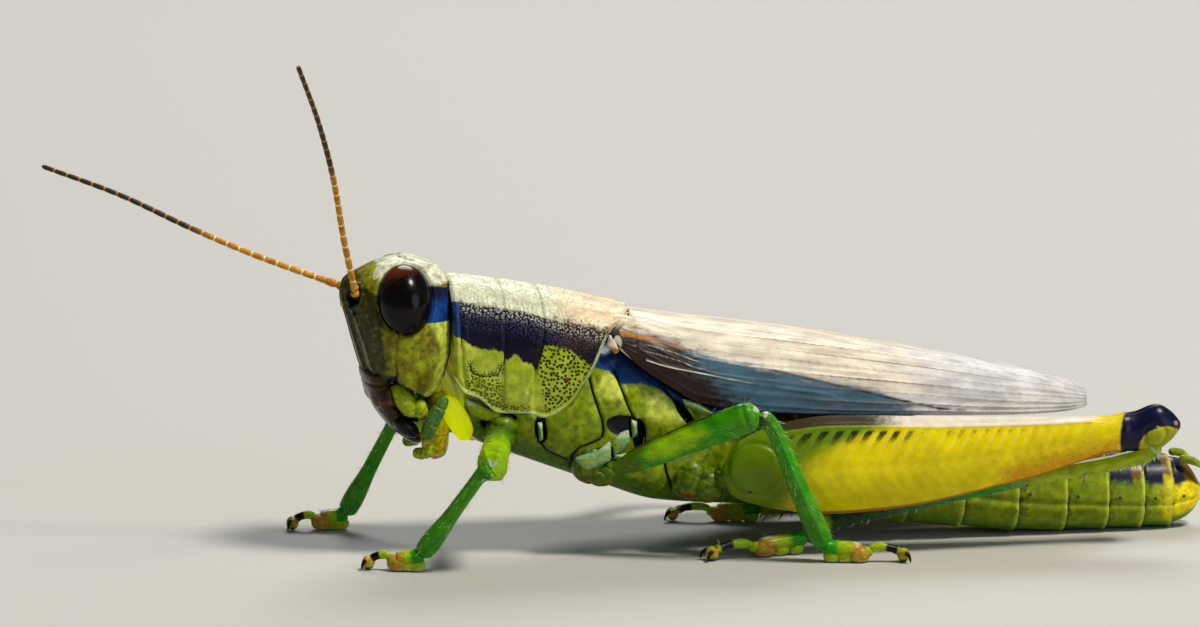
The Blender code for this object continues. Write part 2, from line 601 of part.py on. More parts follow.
def build_fore_leg(pair, side, word, leg, femur_sizes, tibia_sizes):
    """A front or middle leg: coxa, femur, tibia and foot, each carved clear of the one before it."""
    slot = "green_leg_cuticle"
    centre = mirrored(COXA_CENTRES[pair], side)
    ball(f"{pair}_coxa_{word}", centre, COXA_RADII[pair], "thorax_cuticle")
    hip, knee, ankle = (Vector(mirrored(point, side)) for point in leg[:3])
    femur_run = []
    for t, depth in zip(FEMUR_PLACES, femur_sizes):
        femur_run.append((hip.lerp(knee, t), depth, depth * FEMUR_FLATNESS))
    femur = limb(f"{pair}_femur_{word}", femur_run, slot)
    carve(femur, room(f"{pair}_hip_room_{word}", centre, COXA_RADII[pair]))
    tibia_run = []
    for t, depth in zip(TIBIA_PLACES, tibia_sizes):
        tibia_run.append((knee.lerp(ankle, t), depth, depth * TIBIA_FLATNESS))
    tibia = limb(f"{pair}_tibia_{word}", tibia_run, slot, around=8, up=(1.0, 0.0, 0.0))
    carve(tibia, limb(f"{pair}_knee_room_{word}", femur_run, "room", grow=GAP))
    toe = mirrored((leg[3][0], leg[3][1], 0.0), side)
    foot = tarsus(f"{pair}_tarsus_{word}", ankle, toe, "tarsus_cuticle")
    carve(foot, limb(f"{pair}_ankle_room_{word}", tibia_run, "room", 8, GAP, up=(1.0, 0.0, 0.0)))


def build_hind_leg(side, word):
    """A jumping leg, its tibia folded into a groove along the underside of its femur."""
    centre = mirrored(COXA_CENTRES["hind"], side)
    ball(f"hind_coxa_{word}", centre, COXA_RADII["hind"], "thorax_cuticle")
    femur = hind_femur(f"hind_femur_{word}", side, "hind_femur_cuticle")
    carve(femur, room(f"hind_hip_room_{word}", centre, COXA_RADII["hind"]))
    run = []
    for point in HIND_TIBIA:
        run.append((lifted(mirrored(point, side), side), HIND_TIBIA_DEPTH, HIND_TIBIA_WIDTH))
    limb(f"hind_tibia_{word}", run, "hind_tibia_cuticle", around=8)
    carve(femur, limb(f"hind_groove_{word}", run, "room", 8, GAP))
    toe = mirrored((HIND_TOE[0], HIND_TOE[1], 0.0), side)
    foot = tarsus(f"hind_tarsus_{word}", run[-1][0], toe, "tarsus_cuticle", landing=0.3)
    carve(foot, limb(f"hind_ankle_room_{word}", run, "room", 8, GAP))


def build_legs():
    for side, word in SIDES:
        build_fore_leg("front", side, word, FRONT_LEGS[side], FRONT_FEMUR, FRONT_TIBIA)
        build_fore_leg("mid", side, word, MID_LEG, MID_FEMUR, MID_TIBIA)
        build_hind_leg(side, word)


build_head()
build_mouth()
build_antennae()
build_thorax()
build_abdomen()
build_wings()
build_legs()
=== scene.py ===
"""The finish of a life-size still grasshopper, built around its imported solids.

Places are in body millimetres: X runs from the tips of the wing bases (0) to the tail, with the head at
negative X, Y from the animal's left side (negative) to its right with its midline at 0, and Z is up from
the floor. HOME, read from the frame, moves them to the frame's own place, and MM turns them to metres.
"""

import math

import bpy
import numpy as np
from bpy.props import FloatProperty, FloatVectorProperty, IntProperty, PointerProperty
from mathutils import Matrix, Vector


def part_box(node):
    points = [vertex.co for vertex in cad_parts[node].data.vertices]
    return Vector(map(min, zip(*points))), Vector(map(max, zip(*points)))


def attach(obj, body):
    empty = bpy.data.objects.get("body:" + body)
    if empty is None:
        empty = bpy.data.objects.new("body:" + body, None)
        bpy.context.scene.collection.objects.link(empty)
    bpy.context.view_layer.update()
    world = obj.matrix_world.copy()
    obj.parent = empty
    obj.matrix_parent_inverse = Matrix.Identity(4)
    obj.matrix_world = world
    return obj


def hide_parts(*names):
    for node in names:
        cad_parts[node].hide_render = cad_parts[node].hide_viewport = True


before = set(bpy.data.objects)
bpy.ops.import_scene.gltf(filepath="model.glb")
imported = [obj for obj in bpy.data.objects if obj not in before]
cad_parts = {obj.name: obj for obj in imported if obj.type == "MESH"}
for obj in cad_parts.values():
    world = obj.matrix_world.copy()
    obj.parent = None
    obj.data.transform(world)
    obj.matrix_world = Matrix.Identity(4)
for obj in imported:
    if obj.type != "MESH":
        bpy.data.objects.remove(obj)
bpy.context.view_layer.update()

bl_info = {
    "name": "Still grasshopper",
    "version": (1, 0, 0),
    "blender": (4, 5, 0),
    "location": "3D View > Sidebar > Grasshopper",
    "description": "Builds the finished pieces of a life-size still grasshopper around its solids",
    "category": "Object",
}

MM = 0.001
LEFT = -1
RIGHT = 1
SIDES = ((LEFT, "left"), (RIGHT, "right"))
PI = math.pi


def corners(node):
    """The lowest and highest corners of a CAD node, in millimetres in the frame."""
    low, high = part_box(node)
    return np.array(low) / MM, np.array(high) / MM


HOME = np.array((
    corners("tegmen_left")[0][0],
    (corners("eye_left")[0][1] + corners("eye_right")[1][1]) / 2,
    0.0,
))


# ---- Curves and fields ----


def along(knots, x):
    """The value at x of a smooth curve through the knots, which never swings past them."""
    places, values = np.array(knots, float).T
    slopes = np.diff(values) / np.diff(places)
    turns = np.concatenate([slopes[:1], np.zeros(len(slopes) - 1), slopes[-1:]])
    both = slopes[:-1] * slopes[1:]
    turns[1:-1] = np.where(both > 0, 2 * both / np.where(both > 0, slopes[:-1] + slopes[1:], 1.0), 0.0)
    x = np.clip(x, places[0], places[-1])
    i = np.clip(np.searchsorted(places, x, side="right") - 1, 0, len(places) - 2)
    width = places[i + 1] - places[i]
    t = (x - places[i]) / width
    start = values[i] * (1 + 2 * t) * (1 - t) ** 2 + turns[i] * width * t * (1 - t) ** 2
    return start + values[i + 1] * t * t * (3 - 2 * t) - turns[i + 1] * width * t * t * (1 - t)


def bend(route, t):
    """Points at fractions t of a smooth path through the route's points."""
    places = np.linspace(0, 1, len(route))
    return np.stack([along(list(zip(places, axis)), t) for axis in np.array(route, float).T], axis=-1)


def ease(low, high, value):
    """0 below low, 1 above high, and a smooth rise between; with low above high it falls."""
    t = np.clip((value - low) / (high - low), 0, 1)
    return t * t * (3 - 2 * t)


def window(value, low, start, end, high):
    """1 from start to end, easing to 0 at low on one side and at high on the other."""
    return ease(low, start, value) * ease(high, end, value)


def swell(distance, width):
    """A ridge's field: 1 where the distance is 0, and next to nothing two widths away."""
    return np.exp(-(distance / width) ** 2)


def edge(distance, blur):
    """A mark's field: 0.5 where the distance is 0, and 1 well inside, where it is positive."""
    return np.clip(0.5 + distance / blur, 0, 1)


def band(value, middle, half, blur):
    """The field of a mark that reaches half to both sides of the middle value."""
    return edge(half - np.abs(value - middle), blur)


def spot(x, z, centre, radius, blur):
    """The field of a round mark."""
    return edge(radius - np.hypot(x - centre[0], z - centre[1]), blur)


def oval(x, z, centre, radii, lean=0):
    """Below 1 inside an upright oval that leans by some degrees towards the tail."""
    turn = math.radians(lean)
    ahead = (x - centre[0]) * math.cos(turn) - (z - centre[1]) * math.sin(turn)
    up = (x - centre[0]) * math.sin(turn) + (z - centre[1]) * math.cos(turn)
    return np.hypot(ahead / radii[0], up / radii[1])


def from_line(x, z, route, count=28):
    """Distance in one plane to a smooth line through the route's points."""
    line = bend(route, np.linspace(0, 1, count))
    nearest = np.full(np.shape(x), np.inf)
    for (ax, az), (bx, bz) in zip(line, line[1:]):
        run = (bx - ax) ** 2 + (bz - az) ** 2 + 1e-12
        t = np.clip(((x - ax) * (bx - ax) + (z - az) * (bz - az)) / run, 0, 1)
        nearest = np.minimum(nearest, np.hypot(x - ax - t * (bx - ax), z - az - t * (bz - az)))
    return nearest


def scatter(x, z, spacing, seed):
    """Distance to the nearest of many points, which lie scattered at about this spacing."""
    table = np.random.RandomState(seed).rand(61, 67, 2) * 0.7 + 0.15
    i = np.floor(x / spacing).astype(int)
    k = np.floor(z / spacing).astype(int)
    nearest = np.full(np.shape(x), np.inf)
    for di in (-1, 0, 1):
        for dk in (-1, 0, 1):
            place = table[(i + di) % 61, (k + dk) % 67]
            away = np.hypot(x - (i + di + place[..., 0]) * spacing, z - (k + dk + place[..., 1]) * spacing)
            nearest = np.minimum(nearest, away)
    return nearest


def rounded(turn, power):
    """A point of the unit curve |x|^power + |y|^power = 1, which is a circle at power 2."""
    across = np.cos(turn)
    up = np.sin(turn)
    return np.sign(across) * np.abs(across) ** (2 / power), np.sign(up) * np.abs(up) ** (2 / power)


def round_ends(length_, before, after):
    """How wide a rounded end is, from 0 at its tip to 1 past length_, at distances from both tips."""
    end = np.clip(np.minimum(before, after) / length_, 0, 1)
    return np.sqrt(1 - (1 - end) ** 2)


def round_angles(count):
    """Turns round a closed loop, as one row."""
    return np.linspace(0, 2 * PI, count, endpoint=False)[None]


def xyz(points):
    """The three coordinates of a grid of points, each as a grid of its own."""
    return np.moveaxis(points, -1, 0)


# ---- Meshes ----


def unit(rows):
    """Rows of vectors, each brought to a length of 1."""
    return rows / (np.linalg.norm(rows, axis=-1, keepdims=True) + 1e-9)


def normals(points, wrap=True):
    """Unit normals of a grid of points, pointing away from the middle of each row."""
    down = np.gradient(points, axis=0)
    if wrap:
        over = np.roll(points, -1, axis=1) - np.roll(points, 1, axis=1)
    else:
        over = np.gradient(points, axis=1)
    normal = unit(np.cross(down, over))
    away = points - points.mean(axis=1, keepdims=True)
    return normal * (1 if (normal * away).sum() > 0 else -1)


def raise_by(points, height, wrap=True):
    """A grid lifted off its own surface by a height at each point."""
    return points + normals(points, wrap) * np.broadcast_to(height, points.shape[:2])[..., None]


def across_body(points, side):
    """The same points on one side of the body; they are given as on the right side."""
    return points * np.array((1, side, 1))


def on_side(grids, side):
    """Grids with their marks, moved from the right side of the body to one side."""
    return [(across_body(grid, side), marks) for grid, marks in grids]


def on_both_sides(grids):
    return [grid for side, _ in SIDES for grid in on_side(grids, side)]


def grid_faces(rows, cols, wrap):
    """Four-sided faces of a grid of points, as indices."""
    index = np.arange(rows * cols).reshape(rows, cols)
    right = np.roll(index, -1, axis=1)
    if not wrap:
        index, right = index[:, :-1], right[:, :-1]
    return np.stack([index[:-1], right[:-1], right[1:], index[1:]], axis=-1).reshape(-1, 4)


def closed(points):
    """Points and faces of a wrapped grid, its two ends closed by fans."""
    rows, cols = points.shape[:2]
    ring = np.arange(cols)
    after = np.roll(ring, -1)
    last = (rows - 1) * cols
    faces = grid_faces(rows, cols, True).tolist()
    faces += [(rows * cols, b, a) for a, b in zip(ring, after)]
    faces += [(rows * cols + 1, last + a, last + b) for a, b in zip(ring, after)]
    ends = np.array([points[0].mean(axis=0), points[-1].mean(axis=0)])
    flat = np.concatenate([points.reshape(-1, 3), ends])
    volume = 0.0
    corner = [flat[[face[k] for face in faces]] for k in (0, 1, 2, -1)]
    for a, b, c in ((0, 1, 2), (0, 2, 3)):
        volume += (corner[a] * np.cross(corner[b], corner[c])).sum()
    if volume < 0:
        faces = [tuple(reversed(face)) for face in faces]
    return flat, faces


def set_marks(mesh, marks, kind="FLOAT"):
    """Keeps values or vectors at the points of a mesh, each under the name of its mark."""
    for mark, values in marks.items():
        data = mesh.attributes.new(mark, kind, "POINT").data
        data.foreach_set("value" if kind == "FLOAT" else "vector", np.ravel(values))


def place_mesh(name, mesh, nodes=()):
    """Puts a mesh in the scene on the root, and hides the parts that it stands for."""
    mesh.name = name
    piece = bpy.data.objects.new(name, mesh)
    bpy.context.scene.collection.objects.link(piece)
    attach(piece, "root")
    if nodes:
        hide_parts(*nodes)
    return piece


def make_piece(name, points, faces, marks, material, nodes):
    """A piece from points in body millimetres, none of them under the floor."""
    places = (points + HOME) * MM
    places[:, 2] = np.maximum(places[:, 2], 0)
    mesh = bpy.data.meshes.new(name)
    mesh.from_pydata(places.tolist(), [], faces)
    set_marks(mesh, marks)
    mesh.shade_smooth()
    mesh.materials.append(material)
    return place_mesh(name, mesh, nodes)


def body(name, grids, material, nodes=()):
    """One piece from closed grids; each is its points and a dictionary of marks."""
    points, faces = [], []
    fields = {mark: [] for mark in sorted({mark for _, marks in grids for mark in marks})}
    start = 0
    for grid, marks in grids:
        flat, made = closed(grid)
        points.append(flat)
        faces += [tuple(start + k for k in face) for face in made]
        for mark, parts in fields.items():
            field = np.broadcast_to(marks.get(mark, 0.0), grid.shape[:2])
            parts.append(np.append(field, (field[0].mean(), field[-1].mean())))
        start += len(flat)
    marks = {mark: np.concatenate(parts) for mark, parts in fields.items()}
    return make_piece(name, np.concatenate(points), faces, marks, material, nodes)


def plate(name, grid, marks, thickness, material, slot, nodes=()):
    """A thin curved plate: an open grid with its outer side given, thickened inwards."""
    rows, cols = grid.shape[:2]
    faces = grid_faces(rows, cols, False)
    normal = normals(grid, False).reshape(-1, 3)
    flat = grid.reshape(-1, 3)
    a, b, c = (flat[faces[:, k]] for k in (0, 1, 2))
    if (np.cross(b - a, c - a) * normal[faces[:, 0]]).sum() < 0:
        faces = faces[:, ::-1]
    marks = {mark: np.broadcast_to(field, (rows, cols)) for mark, field in marks.items()}
    piece = make_piece(name, flat, faces.tolist(), marks, material, nodes)
    wall = piece.modifiers.new("thickness", "SOLIDIFY")
    wall.thickness = thickness
    wall.offset = -1.0


def lengths(line):
    """The distance gone along a line at each of its points."""
    return np.concatenate([[0], np.cumsum(np.linalg.norm(np.diff(line, axis=0), axis=1))])


def tube(route, sizes_, up=(0, 0, 1), rows=80, cols=32, power=2.0, blunt=0.15):
    """A round-ended rod along a smooth route; sizes_ are knots of (fraction, half depth, half width).

    Returns its points, and for each the fraction along it and the turn round it."""
    t = 0.5 - 0.5 * np.cos(np.linspace(0, PI, rows))
    centre = bend(route, t)
    ahead = unit(np.gradient(centre, axis=0))
    side = unit(np.cross(ahead, np.array(up, float)))
    over = np.cross(side, ahead)
    gone = lengths(centre)
    close = round_ends(blunt, gone, gone[-1] - gone) * 0.98 + 0.02
    depth = along([(k[0], k[1]) for k in sizes_], t) * close
    width = along([(k[0], k[2]) for k in sizes_], t) * close
    turn = round_angles(cols)[0]
    across, above = rounded(turn, power)
    points = centre[:, None] + side[:, None] * (width[:, None] * across)[..., None]
    points = points + over[:, None] * (depth[:, None] * above)[..., None]
    return points, t[:, None] + 0 * turn, turn + 0 * t[:, None]


def spread(line, count):
    """Points spaced evenly along a line of points."""
    gone = lengths(line)
    places = np.linspace(0, gone[-1], count)
    return np.stack([np.interp(places, gone, axis) for axis in line.T], axis=-1)


def spin(angles):
    """A turn about X, then Y, then Z, in degrees."""
    a, b, c = np.radians(angles)
    about_x = np.array([[1, 0, 0], [0, np.cos(a), -np.sin(a)], [0, np.sin(a), np.cos(a)]])
    about_y = np.array([[np.cos(b), 0, np.sin(b)], [0, 1, 0], [-np.sin(b), 0, np.cos(b)]])
    about_z = np.array([[np.cos(c), -np.sin(c), 0], [np.sin(c), np.cos(c), 0], [0, 0, 1]])
    return about_z @ about_y @ about_x


def lobe(centre, radii, angles=(0, 0, 0), power=2.2, rows=28, cols=36):
    """A rounded lump: an ellipsoid, squarer with a higher power."""
    tilt = np.linspace(0.02, PI - 0.02, rows)[:, None]
    out, up = rounded(PI / 2 - tilt, power)
    ahead, aside = rounded(round_angles(cols), power)
    local = np.stack([ahead * out, aside * out, up + 0 * ahead], axis=-1) * np.array(radii)
    return local @ spin(angles).T + np.array(centre)


def shard(outline, out, bulge, rows=18, cols=48):
    """A small domed plate on the right side; its outline is given as seen from the side."""
    knots = np.array(tuple(outline) + (outline[0],))
    place = np.linspace(0, len(outline), cols, endpoint=False)
    k = place.astype(int)
    line = knots[k] + (knots[k + 1] - knots[k]) * (place - k)[:, None]
    line = (line + np.roll(line, 1, axis=0) + np.roll(line, -1, axis=0)) / 3
    middle = line.mean(axis=0)
    turn = np.linspace(0.04, PI - 0.04, rows)[:, None]
    flat = middle + (line - middle) * (np.sin(turn) ** 0.7)[..., None]
    x, z = xyz(flat)
    return np.stack([x, out + bulge * np.cos(turn) + 0 * x, z], axis=-1)


# ---- Colours and finishes ----


def linear(hex_colour):
    """An sRGB hex colour as four linear values."""
    parts = (int(hex_colour[k:k + 2], 16) / 255 for k in (1, 3, 5))
    return *(part / 12.92 if part <= 0.04045 else ((part + 0.055) / 1.055) ** 2.4 for part in parts), 1.0


def colour(label, hex_colour):
    return FloatVectorProperty(
        name=label, description=f"Colour of the {label.lower()}", subtype="COLOR", size=4, min=0.0, max=1.0,
        default=linear(hex_colour),
    )


class GrasshopperColours(bpy.types.PropertyGroup):
    """Shell colours that a user may change; most are pigments seen under a clear, glossy surface, but the
    blue-grey of the wings' sides is mostly painted shade and the stripe's blue sheen is painted glints.
    """

    plate: colour("Yellow-green plates", "#a2b410")
    plate_light: colour("Pale plate rims", "#c8d24a")
    crown: colour("Cream back", "#dedfc2")
    tan: colour("Tan rear of the shield", "#ecd6b0")
    face: colour("Olive face", "#3a360a")
    mottle: colour("Brown mottling", "#6a4c0c")
    glint: colour("Blue sheen of the stripe", "#5a6088")
    rust: colour("Brown rear of the stripe", "#3c2214")
    stripe: colour("Blue-black stripe", "#0c0a24")
    head_stripe: colour("Blue stripe behind the eye", "#123f86")
    seam: colour("Black seams", "#0b0a0e")
    eye: colour("Eyes", "#0b0503")
    eye_top: colour("Top of the eyes", "#5a2808")
    leg: colour("Green legs", "#229602")
    leg_mid: colour("Middle green of the legs", "#4c9204")
    leg_light: colour("Light green of the legs", "#9ccc04")
    leg_dark: colour("Dark green of the legs", "#4a6c04")
    femur: colour("Yellow jumping legs", "#f0dc00")
    femur_light: colour("Light yellow of the jumping legs", "#dcc800")
    femur_gold: colour("Gold streak of the jumping legs", "#e09a04")
    femur_base: colour("Green base of the jumping legs", "#668404")
    femur_rim: colour("Orange rims of the jumping legs", "#b8760c")
    knee: colour("Dark knees", "#0c1230")
    blush: colour("Pink spot of the knees", "#c79a90")
    shin: colour("Blue-green shins", "#2f7a4e")
    wing_back: colour("Straw back of the wings", "#e6dac4")
    # Mostly painted shade: the blue-grey that the wings' sides and rear take in shade, over their own grey.
    shaded_wing_side: colour("Blue-grey sides of the wings", "#466678")
    wing_far: colour("Grey tips of the wings", "#d9d7d6")
    wing_dark: colour("Brown of the wing bases", "#2c1c16")
    vein: colour("Wing veins", "#8a7a66")
    membrane: colour("Neck membrane", "#f0ff00")
    feeler: colour("Feelers", "#e4a42c")
    feeler_joint: colour("Feeler joints", "#f4e2a8")
    amber: colour("Amber pads", "#bf8a2c")
    feeler_dark: colour("Outer feelers", "#3a3018")
    belly: colour("Belly", "#9ca408")
    teal: colour("Teal plates at the hips", "#5ca088")
    hair: colour("Fine hairs", "#d8cfa8")
    pit: colour("Pits of the shield", "#1c2606")
    # Also painted as shade: in the shield's pits, and on the jumping shins towards their feet.
    navy: colour("Navy band under the wings", "#123a74")
    pale: colour("Pale rims", "#b9cf9c")


def length(label, description, millimetres):
    return FloatProperty(
        name=label, description=description, default=millimetres * MM, min=0.0, precision=6, unit="LENGTH",
    )


class GrasshopperSizes(bpy.types.PropertyGroup):
    """Sizes of the fine work."""

    shell: length("Shell", "Thickness of the shield's plate", 0.12)
    wing: length("Wing", "Thickness of a wing cover", 0.05)
    pit: length("Pit spacing", "Distance between the shield's rear pits", 0.13)
    grain: length("Grain", "Distance between the back's small grains", 0.11)
    chevron: length("Chevrons", "Distance between the ridges of a jumping leg", 0.5)
    feeler: length("Feeler", "Half thickness of a feeler at its root", 0.108)
    feeler_joints: IntProperty(name="Feeler joints", description="Joints in each feeler", default=24, min=4)
    bristle: length("Bristle", "Length of a leg's bristles", 0.22)
    bristle_root: length("Bristle root", "Half thickness of a bristle at its root", 0.0065)
    spine: length("Spine", "Length of a shin's spines", 0.38)


def colours():
    return bpy.context.scene.grasshopper_colours


def sizes():
    return bpy.context.scene.grasshopper_sizes


def node(tree, kind, inputs=None, **settings):
    """Adds a node; its inputs, by name or place, are values, or sockets or nodes that feed them."""
    made = tree.nodes.new(kind)
    for name, value in settings.items():
        setattr(made, name, value)
    for name, value in (inputs or {}).items():
        if isinstance(value, bpy.types.Node):
            value = next(socket for socket in value.outputs if socket.enabled)
        if isinstance(value, bpy.types.NodeSocket):
            tree.links.new(value, made.inputs[name])
        else:
            made.inputs[name].default_value = value
    return made


def per_mm(size):
    """A texture scale whose features are this many millimetres across, as coordinates are in metres."""
    return 1 / (size * MM)


# Optics of shell and wax, the size of frayed edges in millimetres, and how deep pits are for their bump.
CHITIN_IOR = 1.56
WAX_ROUGHNESS = 0.1
FRAY_SIZE = 0.14
PIT_DEPTH = 2.0
# How far red, green and blue light spreads under pale shell, and the scale of that in millimetres.
GLOW_COLOURS = (1.0, 0.8, 0.3)
GLOW_DEPTH = 0.35


def cuticle(name, plain, mottled, marks=(), cloud=0.5, contrast=0.5, grain=0.05, grain_depth=0.004,
            roughness=0.3, coat=0.04, glow=0.0, freckle=None, streak=None, tone=0.3, shine=0.15, pits=(),
            painted_glow=0.0):
    """Insect cuticle: hardened chitin under a thin wax, so a satin base with a clear, sharper gloss.

    plain and mottled are mixed in clouds. Each mark is (attribute, colour, fray): the attribute is 0.5
    on the mark's edge, and the fray roughens that edge. freckle is (colour, size, amount). streak
    stretches the clouds along X. tone darkens the shell in smaller clouds. pits are (attribute, colour,
    spacing) of small holes. grain and grain_depth are the size and depth of the finest bumps, which are
    coarser than an insect's own, as those are too fine to show. shine is the strength of the gloss, glow
    is light scattered under thin, pale shell, and painted_glow is a painted glow: the plain colour given
    off as light, as if light came through the shell from behind."""
    if name in bpy.data.materials:
        return bpy.data.materials[name]
    material = bpy.data.materials.new(name)
    material.use_nodes = True
    tree = material.node_tree
    place = node(tree, "ShaderNodeTexCoord").outputs["Object"]
    if streak:
        place = node(tree, "ShaderNodeMapping", {"Vector": place, "Scale": (1 / streak, 1, 1)})
    noises = [
        node(tree, "ShaderNodeTexNoise", {"Vector": place, "Scale": per_mm(size), "Detail": detail})
        for size, detail in ((cloud, 5.0), (cloud * 0.4, 4.0), (FRAY_SIZE, 3.0), (grain, 4.0))
    ]
    clouds, patches, frays, relief = noises
    half = 0.5 - 0.4 * contrast
    layers = [(node(tree, "ShaderNodeMapRange", {0: clouds, 1: half, 2: 1 - half}), mottled)]
    if freckle:
        tint, size, amount = freckle
        cells = node(tree, "ShaderNodeTexVoronoi", {"Vector": place, "Scale": per_mm(size)})
        layers.append((node(tree, "ShaderNodeMapRange", {0: cells, 1: 0.42, 2: 0.2, 4: amount}), tint))
    for attribute, tint, fray in marks:
        field = node(tree, "ShaderNodeAttribute", attribute_name=attribute).outputs["Fac"]
        ragged = node(tree, "ShaderNodeMath", {0: frays, 1: fray, 2: -fray / 2}, operation="MULTIPLY_ADD")
        ragged = node(tree, "ShaderNodeMath", {0: field, 1: ragged}, operation="ADD")
        smooth = {0: ragged, 1: 0.3, 2: 0.7}
        layers.append((node(tree, "ShaderNodeMapRange", smooth, interpolation_type="SMOOTHSTEP"), tint))
    holes = None
    if pits:
        from_side = node(tree, "ShaderNodeMapping", {"Vector": place, "Rotation": (-PI / 2, 0, 0)})
    for attribute, tint, spacing in pits:
        cells = {"Vector": from_side, "Scale": per_mm(spacing), "Randomness": 0.85}
        cells = node(tree, "ShaderNodeTexVoronoi", cells, voronoi_dimensions="2D")
        field = node(tree, "ShaderNodeAttribute", attribute_name=attribute).outputs["Fac"]
        hole = node(tree, "ShaderNodeMapRange", {0: cells, 1: 0.4, 2: 0.26}, interpolation_type="SMOOTHSTEP")
        hole = node(tree, "ShaderNodeMath", {0: hole, 1: field}, operation="MULTIPLY")
        holes = node(tree, "ShaderNodeMath", {0: holes, 1: hole}, operation="ADD") if holes else hole
        layers.append((hole, tint))
    shade = plain
    for amount, tint in layers:
        shade = node(tree, "ShaderNodeMix", {0: amount, 6: shade, 7: tint}, data_type="RGBA")
    dark = node(tree, "ShaderNodeMapRange", {0: patches, 1: 0.36, 2: 0.62, 3: 1 - tone, 4: 1 + tone / 4})
    dark = {0: 1.0, 6: shade, 7: dark}
    shade = node(tree, "ShaderNodeMix", dark, data_type="RGBA", blend_type="MULTIPLY")
    if holes:
        relief = node(tree, "ShaderNodeMath", {0: holes, 1: -PIT_DEPTH, 2: relief}, operation="MULTIPLY_ADD")
    worn = {0: clouds, 1: 0.3, 2: 0.7, 3: roughness - 0.06, 4: roughness + 0.08}
    bump = {"Strength": 1.0, "Distance": grain_depth * MM, "Height": relief}
    shader = tree.nodes["Principled BSDF"]
    tree.links.new(shade.outputs[2], shader.inputs["Base Color"])
    tree.links.new(node(tree, "ShaderNodeMapRange", worn).outputs[0], shader.inputs["Roughness"])
    tree.links.new(node(tree, "ShaderNodeBump", bump).outputs[0], shader.inputs["Normal"])
    values = {
        "IOR": CHITIN_IOR, "Specular IOR Level": shine, "Coat Weight": coat, "Coat Roughness": WAX_ROUGHNESS,
    }
    if painted_glow:
        values.update({"Emission Color": plain, "Emission Strength": painted_glow})
    if glow:
        values.update({
            "Subsurface Weight": glow, "Subsurface Radius": GLOW_COLOURS, "Subsurface Scale": GLOW_DEPTH * MM,
        })
    for socket, value in values.items():
        shader.inputs[socket].default_value = value
    return material


# ---- Head ----

HEAD_HIGH = 9.43
FACE_FRONT = (
    (5.2, -7.40), (6.05, -7.70), (7.5, -8.10), (8.15, -8.27), (8.6, -8.17), (9.0, -7.68), (9.3, -7.05),
    (9.43, -6.55),
)
HEAD_REAR = (
    (5.13, -5.55), (5.37, -5.28), (5.68, -5.12), (6.1, -5.0), (6.6, -4.88), (8.3, -4.84), (8.8, -4.95),
    (9.15, -5.3), (9.43, -6.2),
)
HEAD_HALF_WIDTH = (
    (5.2, 1.62), (6.2, 1.92), (7.0, 1.92), (8.2, 1.62), (8.8, 1.35), (9.2, 1.0), (9.43, 0.3),
)
FACE_POWER = 2.3
NAPE_POWER = 3.4
FACE_TAPER = 0.3
CHEEK_EDGE = (
    (-7.7, 5.68), (-7.1, 5.72), (-6.87, 5.74), (-6.53, 5.58), (-6.26, 5.42), (-5.99, 5.26), (-5.71, 5.13),
    (-5.51, 5.15), (-5.3, 5.37), (-5.17, 5.68), (-5.08, 6.02),
)
CHEEK_SUTURE = ((-6.74, 7.2), (-6.78, 6.4), (-6.72, 5.7))
FACE_KEEL = ((0.78, 8.0), (1.0, 7.0), (1.12, 5.7))
COSTA = ((5.7, 0.46), (7.0, 0.36), (7.9, 0.3), (8.35, 0.22), (8.9, 0.3), (9.43, 0.3))
FACE_REACH = ((6.0, 0.78), (7.4, 0.95), (8.3, 0.95), (8.6, 0.7), (8.9, 0.2), (9.2, -0.4))
SOCKET = (0.82, 8.28)
FACE_PIT = (0.86, 7.84)
JAW_JOINT = (-6.87, 5.74)
EYE_CENTRE = np.array((-6.41, 1.27, 8.16))
EYE_RADII = np.array((0.86, 0.93, 1.16))
EYE_LEAN = 22
SIDE_OCELLUS = ((-7.45, 0.68, 8.78), 0.12)
FRONT_OCELLUS = ((-8.2, 0.0, 7.92), 0.1)


def eye_field(points):
    """1 on the surface of the nearer eye, less inside it and more outside it."""
    near = points * (1, 0, 1) + np.abs(points) * (0, 1, 0)
    return np.linalg.norm(((near - EYE_CENTRE) @ spin((EYE_LEAN, 0, 0))) / EYE_RADII, axis=-1)


def head_grid(rows=190, cols=300):
    """Level slices of the head, from the edge of its cheeks to its crown, and how far forward each lies."""
    turn = round_angles(cols)
    shapes = zip(rounded(turn, FACE_POWER), rounded(turn, NAPE_POWER))
    forward, across = (np.where(np.cos(turn) > 0, face, nape) for face, nape in shapes)
    low = along(CHEEK_EDGE, -6.35 - forward * 1.25)
    for _ in range(3):
        front, rear = along(FACE_FRONT, low), along(HEAD_REAR, low)
        low = along(CHEEK_EDGE, (front + rear) / 2 - forward * (rear - front) / 2)
    rise = 1 - (1 - np.linspace(0, 1, rows)[:, None]) ** 1.5
    z = low + (HEAD_HIGH - low) * rise
    front, rear = along(FACE_FRONT, z), along(HEAD_REAR, z)
    x = (front + rear) / 2 - forward * (rear - front) / 2
    y = across * along(HEAD_HALF_WIDTH, z) * (1 - FACE_TAPER * np.maximum(forward, 0) ** 2)
    return np.stack([x, y, z], axis=-1), forward + 0 * z


